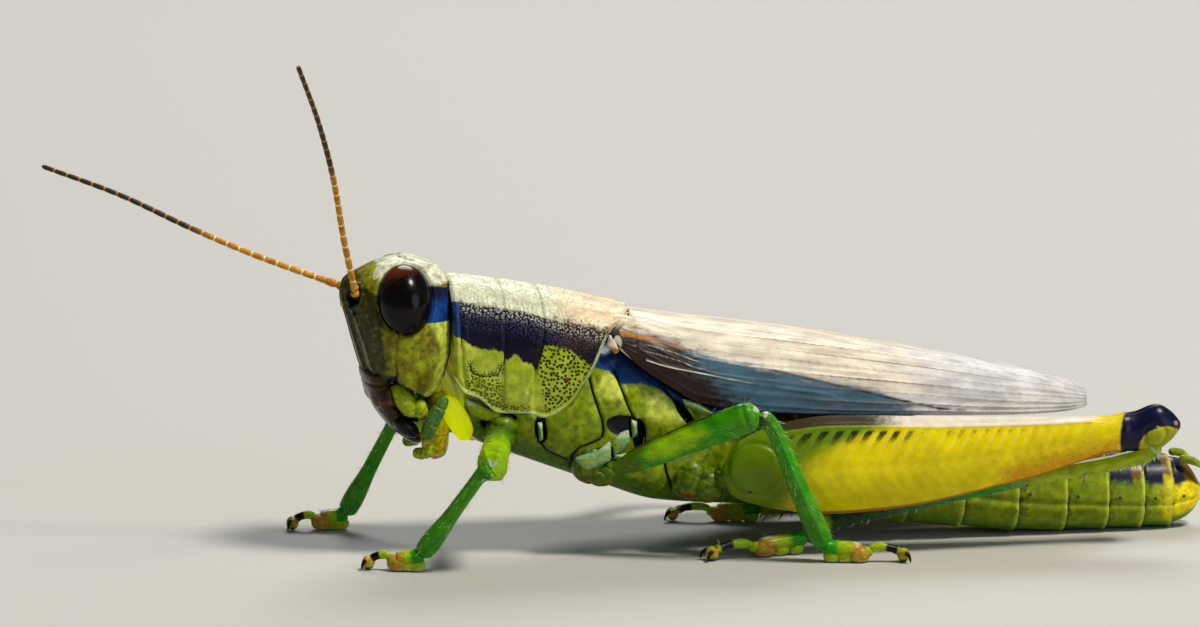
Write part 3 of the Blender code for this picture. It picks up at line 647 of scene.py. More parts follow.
def build_head():
    """Head capsule: one hard shell, mottled under its wax and keeled down the face, so it shines in spots."""
    points, forward = head_grid()
    x, y, z = xyz(points)
    out = np.abs(y)
    facing = ease(0.25, 0.75, forward)
    eye = eye_field(points)
    costa = out - along(COSTA, z)
    socket = np.hypot(out - SOCKET[0], z - SOCKET[1]) + 3 * (1 - facing)
    pit = np.hypot(out - FACE_PIT[0], z - FACE_PIT[1])
    suture = from_line(x, z, CHEEK_SUTURE) + 2 * ease(0.6, 0.2, out)
    rear_gap = along(HEAD_REAR, z) - x
    height = facing * ease(1.0, 1.16, eye) * ease(9.1, 8.8, z) * (
        0.055 * swell(costa, 0.06) - 0.05 * ease(0.06, -0.04, costa) * ease(8.7, 8.3, z)
        - 0.09 * swell(costa - 0.2, 0.16) * ease(8.6, 8.0, z)
        + 0.05 * swell(from_line(out, z, FACE_KEEL), 0.08)
    )
    height = height + facing * (
        0.07 * swell(socket - 0.36, 0.07) - 0.16 * ease(0.33, 0.12, socket) + 0.04 * swell(pit - 0.16, 0.05)
    )
    height = (
        height - 0.05 * swell(suture, 0.05) + 0.02 * swell(suture - 0.13, 0.08)
        + 0.02 * swell(eye - 1.16, 0.06) - 0.06 * swell(eye - 1.04, 0.035)
        - 0.3 * ease(1.0, 0.8, eye)
        + 0.04 * swell(rear_gap - 0.1, 0.1) - 0.03 * swell(rear_gap - 0.3, 0.06)
    )
    points = raise_by(points, height)
    olive = np.interp(z, *zip(*FACE_REACH)) - (x - along(FACE_FRONT, z))
    stripe = edge(np.minimum(np.minimum(z - 7.52, 8.64 - z - 0.15 * (x + 5.7)), x + 6.4), 0.09)
    patch = oval(x, z, (-7.2, 9.02), (0.075, 0.23), 35)
    marks = {
        # crown: the pale top of the head, partly painted highlight, and a pale patch in front of each eye
        # that is a painted glint.
        "crown": np.maximum(edge(np.minimum(z - 8.66, (x + 7.15) * 0.9), 0.3), 0.9 * edge(1.1 - patch, 0.5)),
        "face": 0.66 * edge(olive, 0.3)
        + 0.25 * ease(1.25, 1.1, eye) * ease(-6.5, -6.9, x) * ease(9.2, 8.8, z),
        "rim": edge(np.minimum(0.5 - rear_gap + 0.3 * ease(6.7, 7.4, z), 7.6 - z), 0.5) * 0.85,
        "band": stripe,
        "dusk": stripe * ease(7.8, 8.5, z) * 0.75,
        "seam": np.clip(
            0.6 * swell(suture, 0.05) * ease(6.9, 6.0, z) + 0.8 * swell(eye - 1.03, 0.025)
            + facing * (ease(0.4, 0.2, socket) + 0.7 * ease(0.2, 0.1, pit))
            + 0.9 * ease(0.2, 0.06, np.hypot(x - JAW_JOINT[0], z - JAW_JOINT[1]))
            # A dark line along the head's rear edge, where the shield meets it, is painted shadow.
            + 0.9 * ease(0.24, 0.12, rear_gap) * window(z, 5.5, 5.9, 8.5, 8.9), 0, 1,
        ),
    }
    c = colours()
    # Shell of the face: opaque pigment in clouds and freckles, under wax worn to a satin gloss, with painted
    # highlight and glints on the crown and painted shadow along the rear edge.
    shell = cuticle(
        "face_chitin", c.plate, c.mottle, (
            ("crown", c.crown, 0.25), ("face", c.face, 0.9), ("rim", c.plate_light, 0.2),
            ("band", c.head_stripe, 0.15), ("dusk", c.knee, 0.3), ("seam", c.seam, 0.1),
        ), contrast=0.6, grain=0.06, grain_depth=0.008, roughness=0.34,
        freckle=(c.mottle, 0.2, 0.55), tone=0.45,
    )
    body("head_capsule", [(points, marks)], shell, ["head"])


def build_eyes():
    """Eyes: a lens of thousands of facets, too fine to see, so one deep, wet-looking gloss."""
    c = colours()
    lens = cuticle(
        "eye_lens_chitin", c.eye, c.seam, (("crown", c.eye_top, 0.5),), cloud=0.6, contrast=0.2,
        grain=0.045, grain_depth=0.0007, roughness=0.22, coat=0.15, shine=0.08,
    )
    grid = lobe(EYE_CENTRE, EYE_RADII, (EYE_LEAN, 0, 0), 2.0, 72, 110)
    x, _, z = xyz(grid)
    marks = {"crown": edge(z - 8.98 - 0.3 * (x - EYE_CENTRE[0]), 0.8) * 0.8}
    for side, word in SIDES:
        body(f"eye_lens_{word}", on_side([(grid, marks)], side), lens, [f"eye_{word}"])


def build_ocelli():
    """Small eyes: clear amber beads, which take in light, so they glow under a bright highlight."""
    c = colours()
    amber = cuticle(
        "ocellus_lens", c.feeler_joint, c.feeler, cloud=0.1, grain=0.03, grain_depth=0.0003,
        roughness=0.15, coat=1.0, glow=0.3,
    )
    place, size = FRONT_OCELLUS
    front = lobe(place, (size * 0.7, size, size), (0, 0, 0), 2.0, 14, 20)
    place, size = SIDE_OCELLUS
    beside = lobe(place, (size, size * 0.8, size), (0, 0, 0), 2.0, 14, 20)
    body("ocelli", [(front, {}), *on_both_sides([(beside, {})])], amber)


# ---- Shield over the thorax (pronotum) ----

SHIELD_SPAN = (-4.95, 0.79)
SHIELD_TOP = ((-4.95, 8.8), (-3.19, 8.54), (-1.6, 8.25), (0.0, 7.88), (0.8, 7.67))
SHIELD_HALF_WIDTH = ((-4.95, 1.84), (-3.5, 1.92), (-1.8, 2.1), (0.8, 2.2))
SHIELD_WIDEST = ((-4.95, 6.5), (-1.8, 6.0), (0.8, 5.9))
SHIELD_EDGE = (
    (-4.95, 5.78), (-4.62, 5.29), (-4.15, 5.09), (-3.52, 4.62), (-2.64, 4.58), (-2.1, 4.45),
    (-1.46, 4.75), (-0.83, 5.62), (-0.26, 6.81), (0.0, 7.2), (0.45, 7.5), (0.8, 7.66),
)
SHIELD_LOWEST = 4.45
SHIELD_TUCK = 0.14
SHIELD_POWER = 2.6
SHIELD_LEAST_DEPTH = 0.06
STRIPE_TOP = (
    (-5.0, 8.16), (-4.33, 8.05), (-3.61, 7.92), (-2.5, 7.72), (-1.78, 7.48), (-1.05, 7.3), (-0.2, 7.1),
    (0.8, 6.9),
)
STRIPE_LOW = (
    (-4.95, 7.14), (-4.69, 7.0), (-4.22, 6.71), (-3.43, 6.56), (-3.3, 6.3), (-3.16, 6.4), (-3.05, 6.5),
    (-2.77, 6.25), (-2.5, 6.15), (-2.4, 5.95), (-2.25, 6.3), (-2.1, 6.75), (-1.44, 6.65), (-0.9, 6.25),
    (-0.71, 6.1), (-0.3, 6.2), (0.8, 6.9),
)
COLLAR_GROOVE = ((-4.72, 8.1), (-4.7, 7.0), (-4.66, 6.0), (-4.55, 5.45))
FIRST_GROOVE = ((-3.33, 8.7), (-3.33, 6.97), (-3.4, 6.05), (-3.53, 5.71))
MAIN_GROOVE = ((-2.13, 8.5), (-2.13, 7.25), (-2.42, 5.9), (-2.62, 5.3))
SIDE_SCAR = ((-4.46, 6.2), (-4.36, 5.93), (-4.0, 5.8), (-3.62, 5.84), (-3.46, 6.12))


def down_side(half, top, widest, low, count):
    """(y, z) points down one side of an arched slice, from its top to the height low."""
    across, up = rounded(np.linspace(PI / 2, 0, 160), SHIELD_POWER)
    y = half * across
    z = widest + (top - widest) * up
    if low < widest:
        below = np.linspace(widest, low, 60)[1:]
        tuck = SHIELD_TUCK * ((widest - below) / (widest - SHIELD_LOWEST)) ** 2
        y = np.concatenate([y, half - tuck])
        z = np.concatenate([z, below])
    inside = z > low
    y = np.append(y[inside], np.interp(-low, -z, y))
    z = np.append(z[inside], low)
    return spread(np.stack([y, z], axis=1), count)


def shield_grid(rows=182, count=118):
    """The shield's outer side from its left edge over its ridge to its right edge, and how far down."""
    slices, down = [], []
    for x in np.linspace(*SHIELD_SPAN, rows):
        top = along(SHIELD_TOP, x)
        low = min(along(SHIELD_EDGE, x), top - SHIELD_LEAST_DEPTH)
        side = down_side(along(SHIELD_HALF_WIDTH, x), top, along(SHIELD_WIDEST, x), low, count)
        right = np.column_stack([np.full(count, x), side])
        slices.append(np.concatenate([right[:0:-1] * (1, -1, 1), right]))
        gone = lengths(side)
        down.append(np.concatenate([gone[:0:-1], gone]))
    return np.stack(slices), np.stack(down)


def build_shield():
    """Shield: hard, thick chitin, pitted at the rear and grained on the back, with a waxy rim."""
    points, down = shield_grid()
    x, y, z = xyz(points)
    rim = down[:, :1] - down
    grooves = (COLLAR_GROOVE, FIRST_GROOVE, MAIN_GROOVE, SIDE_SCAR)
    collar, first, main, scar = (from_line(x, z, route) for route in grooves)
    above = z - along(STRIPE_TOP, x)
    inside = np.minimum(z - along(STRIPE_LOW, x), -above)
    grain = sizes().grain / MM
    beads = swell(scatter(x * 0.8, down, grain, 17), grain * 0.36)
    beads = beads * ease(-0.9, -0.1, above) * ease(-4.75, -4.6, x)
    height = (
        0.045 * swell(y, 0.06) - 0.05 * swell(collar, 0.05) + 0.02 * swell(collar - 0.13, 0.08)
        - 0.055 * swell(first, 0.05) * ease(5.6, 6.2, z) - 0.075 * swell(main, 0.055)
        - 0.035 * swell(scar, 0.035) + 0.026 * beads * ease(0.4, -1.6, x)
        + 0.045 * swell(rim - 0.05, 0.055) - 0.02 * swell(rim - 0.16, 0.05)
        + 0.05 * window(x, -3.42, -3.3, -2.55, -2.42) * window(z, 4.6, 4.8, 6.0, 6.3)
        - 0.1 * ease(0.12, 0.0, x - SHIELD_SPAN[0])
    )
    points = raise_by(points, height, False)
    pitted = ease(-2.42, -2.25, x + 0.2 * (z - 5.9)) * ease(0.12, 0.2, rim) * ease(7.3, 6.9, z)
    front_dots = window(x, -4.62, -4.5, -3.5, -3.35) * ease(5.75, 5.62, z + 0.2 * (x + 3.5))
    low_dots = window(x, -3.6, -3.4, -2.7, -2.5) * ease(4.95, 4.85, z)
    dotted = np.max([
        0.85 * front_dots * ease(0.05, 0.12, rim), 0.8 * low_dots * ease(0.05, 0.1, rim),
        0.8 * ease(0.2, 0.05, scar),
    ], axis=0)
    marks = {
        "crown": edge(above + 0.05, 0.35 + 0.5 * ease(-2.0, 0.5, x)),
        "tan": edge(np.minimum(above, (x + 1.6) * 0.3), 0.6),
        "stripe": edge(inside, 0.25 + 0.35 * ease(-1.6, 0.2, x)),
        # The stripe's blue-grey dots are painted glints, the pale specks along its top are partly pale grains
        # and partly painted glints, and the pale green dots above are painted shade between the grains.
        "glint": 0.6 * window(above, -1.0, -0.1, -0.1, 0.1) * ease(0.6, -1.2, x),
        "pale_speck_and_glint": 0.75 * swell(above + 0.12, 0.16) * ease(-4.75, -4.6, x),
        "painted_grain_shade": 0.32 * window(above, -0.05, 0.1, 0.4, 1.2) * ease(0.4, -1.4, x),
        "rust": edge(np.minimum(inside + 0.15, (x + 1.75) * 0.35), 0.5) * ease(6.1, 6.9, z) * 0.85,
        "collar": edge(np.minimum(inside, -4.71 - x), 0.1),
        "pitted": 0.95 * pitted * (1 - 0.75 * ease(6.5, 7.0, z)),
        "dotted": dotted,
        "seam": ease(0.1, -0.1, above) * np.clip(
            0.85 * swell(collar, 0.03) * window(z, 6.2, 7.0, 8.0, 8.2)
            + 0.8 * swell(first, 0.045) * ease(5.9, 6.3, z) + 0.7 * swell(scar, 0.045)
            + swell(main, 0.04) * ease(5.75, 6.2, z) + 0.35 * swell(main, 0.03) * ease(6.2, 5.75, z), 0, 1,
        ),
        "spot": spot(x, z, (-1.42, 5.65), 0.09, 0.1),
        "rim": edge(0.085 - rim, 0.05) * ease(7.25, 6.85, z),
    }
    c = colours()
    pit = sizes().pit / MM
    # Shell of the shield: the thickest of all, so opaque; its pits are painted dark as their shade, the
    # stripe's glints are painted, and its grains are partly relief and partly painted highlight and shade.
    # Both pits and grains are drawn somewhat coarser and sparser than the real ones, which are too fine to
    # show.
    shell = cuticle(
        "shield_chitin", c.plate, c.plate_light, (
            ("crown", c.crown, 0.8), ("tan", c.tan, 0.6), ("stripe", c.stripe, 0.9),
            ("rust", c.rust, 1.0), ("collar", c.navy, 0.4), ("spot", c.mottle, 0.4),
            ("seam", c.seam, 0.1), ("rim", c.pale, 0.1),
        ), cloud=0.7, contrast=0.45, grain=0.09, grain_depth=0.014,
        freckle=(c.femur_base, 0.16, 0.25), tone=0.25, pits=(
            ("pitted", c.pit, pit), ("dotted", c.pit, pit * 0.68), ("glint", c.glint, grain * 0.75),
            ("pale_speck_and_glint", c.crown, grain * 0.8), ("painted_grain_shade", c.pale, grain * 0.8),
        ),
    )
    plate("shield", points, marks, sizes().shell, shell, "pronotum_cuticle", ["pronotum"])


# ---- Trunk ----

TRUNK_TOP = ((-4.9, 8.3), (-1.0, 7.4), (1.0, 6.9), (4.6, 5.3))
TRUNK_BOTTOM = (
    (-4.9, 4.95), (-4.6, 4.15), (-4.0, 3.5), (-2.57, 2.95), (0.0, 2.02), (1.6, 1.5), (4.6, 1.25),
)
TRUNK_HALF_WIDTH = ((-4.9, 1.3), (-3.6, 1.6), (-2.2, 2.0), (0.0, 2.3), (2.4, 2.25), (4.6, 1.85))
WIDEST_LEVEL = 0.42
LEAST_HEIGHT = 0.02
WING_EDGE = (
    (0.0, 6.95), (0.86, 6.04), (1.97, 5.29), (2.7, 4.86), (4.9, 4.5), (9.7, 4.22), (14.9, 3.99),
    (15.7, 4.05),
)
SIDE_SEAMS = (
    ((-0.74, 5.9), (-0.62, 5.3), (-0.47, 4.8), (-0.3, 4.2), (-0.33, 3.85), (-0.7, 3.62)),
    ((0.1, 5.95), (0.33, 5.3), (0.61, 4.55), (0.9, 4.1), (1.0, 3.6)),
    ((-2.12, 4.6), (-2.16, 4.1), (-2.28, 3.75), (-2.0, 3.35), (-1.3, 3.0)),
    ((-3.62, 4.7), (-3.7, 4.3), (-3.6, 3.7)),
    ((-0.7, 3.62), (-1.05, 3.45), (-1.22, 3.1), (-1.2, 2.7)),
    ((1.75, 5.25), (2.15, 4.72), (2.5, 4.2), (2.75, 3.7)),
    ((1.6, 3.3), (1.75, 2.6), (2.0, 2.0)),
)
# Centre, radii and lean of hollows that are pressed in and painted black as shade.
DARK_HOLLOWS = (
    ((0.38, 4.17), (0.6, 0.34), 12), ((0.85, 3.85), (0.22, 0.55), 0), ((-2.22, 4.05), (0.19, 0.46), -8),
    ((-0.25, 3.3), (0.5, 0.2), -15), ((2.35, 4.45), (0.15, 0.55), -35), ((1.9, 3.25), (0.3, 0.2), 0),
    ((-3.3, 4.55), (0.4, 0.12), 20), ((-3.85, 4.22), (0.2, 0.14), 25),
)
SMALL_PLATES = (
    (2.36, (
        (-1.25, 3.2), (-0.95, 3.32), (-0.5, 3.42), (-0.08, 3.75), (-0.06, 3.1), (-0.5, 2.92), (-0.87, 2.82),
    )),
    (2.3, ((-0.03, 3.72), (0.26, 3.98), (0.5, 4.06), (0.57, 3.68), (0.34, 3.38), (0.04, 3.24))),
    (2.3, ((0.58, 4.38), (0.76, 4.32), (0.78, 3.86), (0.62, 3.78))),
    (2.3, ((0.02, 3.3), (0.7, 3.32), (0.76, 3.1), (0.1, 3.02))),
    (2.25, ((2.22, 4.98), (2.75, 4.85), (3.32, 4.42), (2.8, 4.5), (2.3, 4.78))),
    (1.9, ((-2.32, 4.3), (-2.18, 4.32), (-2.14, 3.76), (-2.26, 3.7))),
    (2.2, ((1.7, 3.45), (2.35, 3.52), (2.5, 3.1), (1.95, 2.88))),
    (1.6, ((-4.6, 5.1), (-3.63, 4.68), (-3.1, 4.4), (-3.9, 4.34), (-4.4, 4.62))),
)
NAVY_EDGE = (
    (-1.0, 6.3), (-0.5, 5.98), (-0.08, 5.85), (0.33, 5.48), (1.13, 5.4), (1.64, 5.16), (2.05, 4.8),
    (2.6, 4.6), (3.4, 4.4),
)


def trunk_grid(xs, bottoms, tops, halves, cols, low_power=2.6, high_power=2.2):
    """Upright slices of a body at the places xs, squarer below its widest level than above."""
    turn = round_angles(cols)
    across, up = rounded(turn, high_power)
    across_low, up_low = rounded(turn, low_power)
    over = turn < PI
    x = np.array(xs)[:, None]
    low = along(bottoms, x)
    high = along(tops, x)
    widest = low + WIDEST_LEVEL * (high - low)
    y = along(halves, x) * np.where(over, across, across_low)
    z = np.where(over, widest + up * (high - widest), widest + up_low * (widest - low))
    return np.stack([x + 0 * turn, y, np.maximum(z, LEAST_HEIGHT)], axis=-1)


def build_thorax():
    """Side plates of the thorax: pillowed, hard plates that meet in deep seams over dark membrane, with shade
    painted black into the hollows.
    """
    points = trunk_grid(np.linspace(-4.5, 4.56, 300), TRUNK_BOTTOM, TRUNK_TOP, TRUNK_HALF_WIDTH, 250)
    x, y, z = xyz(points)
    seam = np.min([from_line(x, z, route, 16) for route in SIDE_SEAMS], axis=0)
    hollow = np.min([oval(x, z, *shape) for shape in DARK_HOLLOWS], axis=0)
    side = ease(0.35, 0.6, np.abs(y) / along(TRUNK_HALF_WIDTH, x))
    under_shield = ease(-0.05, 0.15, z - along(SHIELD_EDGE, x)) * ease(0.9, 0.6, x)
    under_wing = ease(-0.12, 0.12, z - along(WING_EDGE, x)) * ease(0.0, 0.4, x)
    height = (
        side * (0.07 * (1 - swell(seam, 0.2)) - 0.1 * swell(seam, 0.05) - 0.14 * ease(1.25, 0.6, hollow))
        - 0.34 * np.maximum(under_shield, under_wing)
        - 0.03 * swell(y, 0.05) * ease(0.2, 0.0, side)
    )
    points = raise_by(points, height)
    # The two light ovals are painted highlights; the pale band along the seams is the plates' own pale rim.
    light = np.minimum(oval(x, z, (1.75, 4.7), (0.9, 0.6)), oval(x, z, (-0.05, 5.4), (0.5, 0.5)))
    shade = np.max([
        0.32 - oval(x, z, (1.45, 4.05), (1, 1.25)), 0.14 - oval(x, z, (-1.35, 4.35), (1, 1 / 0.6)),
        0.3 - oval(x, z, (-1.85, 3.55), (1, 1 / 0.9)),
    ], axis=0)
    marks = {
        "light": edge(0.5 - 0.6 * light, 0.6) * side
        + 0.35 * band(seam, 0.11, 0.07, 0.08) * side * ease(3.8, 4.6, z),
        "shade": 0.6 * edge(shade, 0.9),
        # belly: darker towards the bottom, painted shade.
        "belly": edge(0.75 - (z - along(TRUNK_BOTTOM, x)), 0.9),
        "navy": edge(z - along(NAVY_EDGE, x), 0.2),
        "pit": 0.45 * ease(0.05, 0.02, scatter(x, z, 0.16, 5)) * side,
        "seam": np.clip(side * (edge(0.035 - seam, 0.04) + edge(1.0 - hollow, 0.25)), 0, 1),
    }
    c = colours()
    shell = cuticle(
        "thorax_chitin", c.plate, c.femur_base, (
            ("light", c.plate_light, 0.5), ("shade", c.mottle, 0.8), ("belly", c.leg_dark, 0.6),
            ("pit", c.pit, 0.0), ("navy", c.navy, 0.7), ("seam", c.seam, 0.1),
        ), cloud=0.55, contrast=0.55, grain=0.08, grain_depth=0.009, roughness=0.33,
        freckle=(c.mottle, 0.3, 0.35), tone=0.4,
    )
    rings = ["prothorax", "mesothorax", "metathorax"]
    body("thorax_plates", [(points, marks)], shell, rings)
    # Small plates: thin islands of shell in the membrane, smooth, with pale tops that are painted highlights.
    thin = cuticle(
        "small_plate_chitin", c.plate, c.teal, (("green", c.plate, 0.3), ("tip", c.pale, 0.3)), cloud=0.3,
        contrast=0.8, grain_depth=0.005,
    )
    grids = []
    for out, outline in SMALL_PLATES:
        grid = shard(outline, out, 0.15)
        high = np.array(outline)[:, 1]
        tip = edge(grid[..., 2] - high.max() + 0.3 * np.ptp(high), 0.3)
        grids.append((grid, {"tip": tip, "green": 0.8 if out < 1.8 else 0.2}))
    body("small_plates", on_both_sides(grids), thin)
    # Wing roots: bare, straw-coloured horn, dry and only half glossy.
    horn = cuticle(
        "wing_hinge_chitin", c.tan, c.wing_back, (("amber", c.amber, 0.6),), cloud=0.3,
        grain_depth=0.006,
    )
    lobule = shard(((-0.09, 7.05), (0.12, 6.95), (0.24, 6.5), (0.1, 6.42), (-0.16, 6.72)), 2.1, 0.13)
    ridge = lobe((0.6, 2.16, 6.35), (0.5, 0.1, 0.06), (0, 38, 0), 2.3, 24, 30)
    root = lobe((0.5, 1.32, 7.2), (0.6, 0.38, 0.34), (0, 14, 0), 2.4, 40, 50)
    grids = [
        (lobule, {"amber": edge(6.62 - lobule[..., 2], 0.2)}), (ridge, {}),
        (root, {"amber": 0.5 * band(root[..., 2], 7.2, 0.1, 0.3)}),
    ]
    body("wing_hinges", on_both_sides(grids), horn)


NECK_BOTTOM = ((-5.5, 4.9), (-4.9, 4.6), (-4.6, 4.1), (-4.0, 3.45), (-3.7, 3.5))
NECK_TOP = ((-5.4, 7.9), (-3.7, 7.9))
NECK_HALF_WIDTH = ((-5.4, 1.28), (-3.7, 1.34))
NECK_WRINKLE = 0.26


def build_neck():
    """Neck: soft, stretched membrane in folds, bright because light passes through it."""
    points = trunk_grid(np.linspace(-5.4, -3.75, 90), NECK_BOTTOM, NECK_TOP, NECK_HALF_WIDTH, 130)
    x, y, z = xyz(points)
    phase = (x + 0.35 * (z - 4.5)) * 2 * PI / NECK_WRINKLE + 1.3 * np.sin(z * 3.1) + np.sin(y * 2.7)
    points = raise_by(points, 0.035 * np.sin(phase) + 0.03 * np.sin(phase * 0.43))
    # The neck above 5 mm is painted dark: painted shade where it tucks between the head and the shield.
    marks = {"shade": edge(np.sin(phase) * -0.5 - 0.35, 0.8), "seam": edge(z - 5.0, 0.3)}
    c = colours()
    skin = cuticle(
        "neck_membrane", c.membrane, c.femur, (("shade", c.femur_base, 0.2), ("seam", c.face, 0.3)),
        contrast=0.3, grain=0.06, grain_depth=0.006, roughness=0.45, glow=0.4,
    )
    body("neck_membrane", [(points, marks)], skin, ["neck"])
    # Throat: the thinnest of the membrane, with a painted glow of its own colour, as if light came through it
    # from behind.
    thin = cuticle(
        "throat_membrane", c.membrane, c.femur, (("shade", c.femur_light, 0.2),), cloud=0.3, contrast=0.3,
        grain=0.06, grain_depth=0.006, roughness=0.45, glow=0.8, tone=0.15, painted_glow=0.3,
    )
    fold = lobe((-4.78, 1.28, 4.4), (0.36, 0.17, 0.78), (0, -28, 0), 2.3, 50, 44)
    wave = np.sin((fold[..., 0] * 0.9 + fold[..., 2] * 0.45) * 2 * PI / NECK_WRINKLE)
    folds = [(raise_by(fold, 0.014 * wave), {"shade": 0.4 * edge(-0.7 - wave, 0.8)})]
    body("throat_folds", on_both_sides(folds), thin)


# ---- Wings, folded like a roof over the belly ----

WING_SPAN = (0.0, 15.7)
WING_CREST = ((0.0, 7.66), (0.86, 7.52), (6.45, 6.71), (12.98, 5.43), (14.95, 4.95), (15.7, 4.6))
WING_TOP = ((0.0, 7.04), (0.4, 7.24), (0.8, 7.42), (0.9, 8.0))
WING_HALF_WIDTH = (
    (0.0, 2.2), (2.0, 2.42), (7.0, 2.4), (10.0, 2.15), (13.0, 1.6), (15.0, 0.95), (15.7, 0.5),
)
WING_POWER = 2.4
WING_FOLD = (
    (0.0, 7.2), (1.14, 6.95), (2.06, 6.66), (2.57, 6.45), (5.6, 5.66), (7.85, 5.08), (9.3, 4.69),
    (11.27, 4.3), (15.7, 4.2),
)
PALE_VEIN = ((1.05, 6.25), (1.7, 6.03), (2.9, 5.75), (4.5, 5.4), (7.0, 4.95))
MAIN_VEINS = (
    (0.10, 0.16), (0.2, 0.28), (0.3, 0.4), (0.38, 0.52), (0.47, 0.62), (0.58, 0.72), (0.68, 0.82),
    (0.8, 0.91), (0.92, 0.97),
)
SMALL_VEINS = tuple((0.06 + 0.066 * k, 0.11 + 0.066 * k) for k in range(14))
CELL_LENGTH = 0.3
HINDWING_SPAN = (4.6, 15.1)
HINDWING_INSET = 0.56
HINDWING_THICKNESS = 0.03
PLEATS = 11


def wing_grid(side, rows, cols, inward=0.0, span=WING_SPAN):
    """The outer side of one folded wing, from its ridge to its lower edge."""
    slices = []
    for x in np.linspace(*span, rows):
        low = along(WING_EDGE, x)
        crest = max(along(WING_CREST, x) - inward, low + 0.03)
        upper = min(along(WING_TOP, x), crest)
        half = along(WING_HALF_WIDTH, x) - inward
        height = upper - (upper - low) * np.linspace(0, 1, 200) ** 1.5
        rise = np.minimum((height - low) / (crest - low), 1.0)
        out = np.maximum(half * (1 - rise ** WING_POWER) ** (1 / WING_POWER), 0.015)
        slices.append(spread(np.stack([np.full(200, x), out, height], axis=1), cols))
    return across_body(np.stack(slices), side)


def vein_places(veins, t, reach):
    """Where veins lie across a wing at fractions t of its length, each given by its two ends."""
    return [start + (end - start) * np.minimum(t * reach, 1) ** 0.7 for start, end in veins]


def build_wings():
    """Wing covers: leathery membrane stiffened by raised veins, with a mesh of small cells between."""
    c = colours()
    # The wings' plain colour is a blue-grey that is mostly painted shade; the straw back and grey tips are
    # their colour where lit.
    leather = cuticle(
        "wing_cover_membrane", c.shaded_wing_side, c.shaded_wing_side, (
            ("far", c.wing_far, 0.4), ("back", c.wing_back, 0.5), ("dark", c.wing_dark, 0.8),
            ("orange", c.femur_rim, 0.5), ("vein", c.vein, 0.0), ("pale", c.crown, 0.2),
            ("black", c.seam, 0.2), ("white", c.crown, 0.3),
        ), cloud=0.9, contrast=0.7, grain=0.11, grain_depth=0.012, roughness=0.42, streak=3.0,
    )
    rows, cols = 400, 104
    t = np.linspace(0, 1, rows)[:, None]
    v = np.linspace(0, 1, cols)[None]
    for side, word in SIDES:
        points = wing_grid(side, rows, cols)
        x, _, z = xyz(points)
        wide = np.linalg.norm(np.diff(points, axis=1), axis=-1).sum(axis=1)[:, None]
        main = vein_places(MAIN_VEINS, t, 1.3)
        veins = np.min([np.abs(v - place) for place in main], axis=0) * wide
        small = np.min([np.abs(v - place) for place in vein_places(SMALL_VEINS, t, 1.2)], axis=0) * wide
        jog = np.sin(np.sum([v > place for place in main], axis=0) * 12.9) * 43.7
        cross = np.abs((x + 0.25 * jog) / CELL_LENGTH % 1 - 0.5) * CELL_LENGTH
        mesh = swell(veins, 0.045) + 0.45 * swell(small, 0.03) * ease(2.0, 3.5, x)
        mesh = mesh + 0.3 * swell(cross, 0.03) * ease(1.5, 3.0, x)
        pale = from_line(x, z, PALE_VEIN)
        height = 0.018 * np.minimum(mesh, 1.2) * ease(0.15, 0.5, x) + 0.03 * swell(pale, 0.06)
        points = raise_by(points, height, False)
        fold = z - along(WING_FOLD, x)
        marks = {
            "back": edge(fold, 0.7) * np.interp(x, (4.0, 8.0, 12.0), (1.0, 0.75, 0.2)),
            "dark": edge(np.minimum(0.9 - 0.35 * x - 0.3 * fold, 0.02 - fold), 1.4)
            + 0.6 * band(fold, 0.0, 0.07, 0.12) * window(x, 4.0, 5.6, 10.5, 13.0),
            "far": edge((x - 9.5 + 1.6 * ease(-0.1, 0.3, fold)) * 0.3, 0.9) * 0.9,
            "orange": edge(0.1 - np.abs(fold + 0.07) - 0.03 * x, 0.22) * ease(3.4, 2.0, x) * 0.85,
            "vein": np.clip(0.1 + 0.4 * mesh, 0, 1) * ease(4.0, 7.0, x + 2 * np.maximum(fold, 0))
            * np.interp(x, (8.5, 14.5), (1.0, 0.72)),
            "pale": edge(0.025 - pale, 0.05) * ease(7.0, 3.0, x) * 0.8
            + band(np.abs(fold + 0.36), 0.1, 0.01, 0.05) * window(x, 0.7, 1.2, 2.4, 3.8),
            # black: painted shadow at the front of each wing, under the rear edge of the shield.
            "black": edge(np.minimum(0.22 - x + 0.4 * (7.2 - z), 1.0), 0.15) * ease(6.9, 7.0, z),
            "white": edge(0.14 - np.hypot(x - 0.16, (z - 6.82) * 0.7), 0.12),
        }
        name = f"wing_cover_{word}"
        plate(name, points, marks, sizes().wing, leather, "tegmen_leathery", [f"tegmen_{word}"])
    # Hindwings: a clear film, folded like a fan, that glints along its pleats.
    film = cuticle(
        "hindwing_membrane", c.wing_far, c.wing_dark, (("fold", c.vein, 0.0),), cloud=1.2, contrast=0.4,
        grain=0.1, grain_depth=0.005, streak=4.0,
    )
    pleat = np.cos(np.linspace(0, 1, 90)[None] * 2 * PI * PLEATS)
    marks = {"fold": ease(0.6, 1.0, pleat)}
    for side, word in SIDES:
        points = raise_by(wing_grid(side, 120, 90, HINDWING_INSET, HINDWING_SPAN), 0.07 * pleat, False)
        name = f"folded_hindwing_{word}"
        plate(name, points, marks, HINDWING_THICKNESS * MM, film, "hindwing_membrane", [f"hindwing_{word}"])


# ---- Belly (abdomen) ----

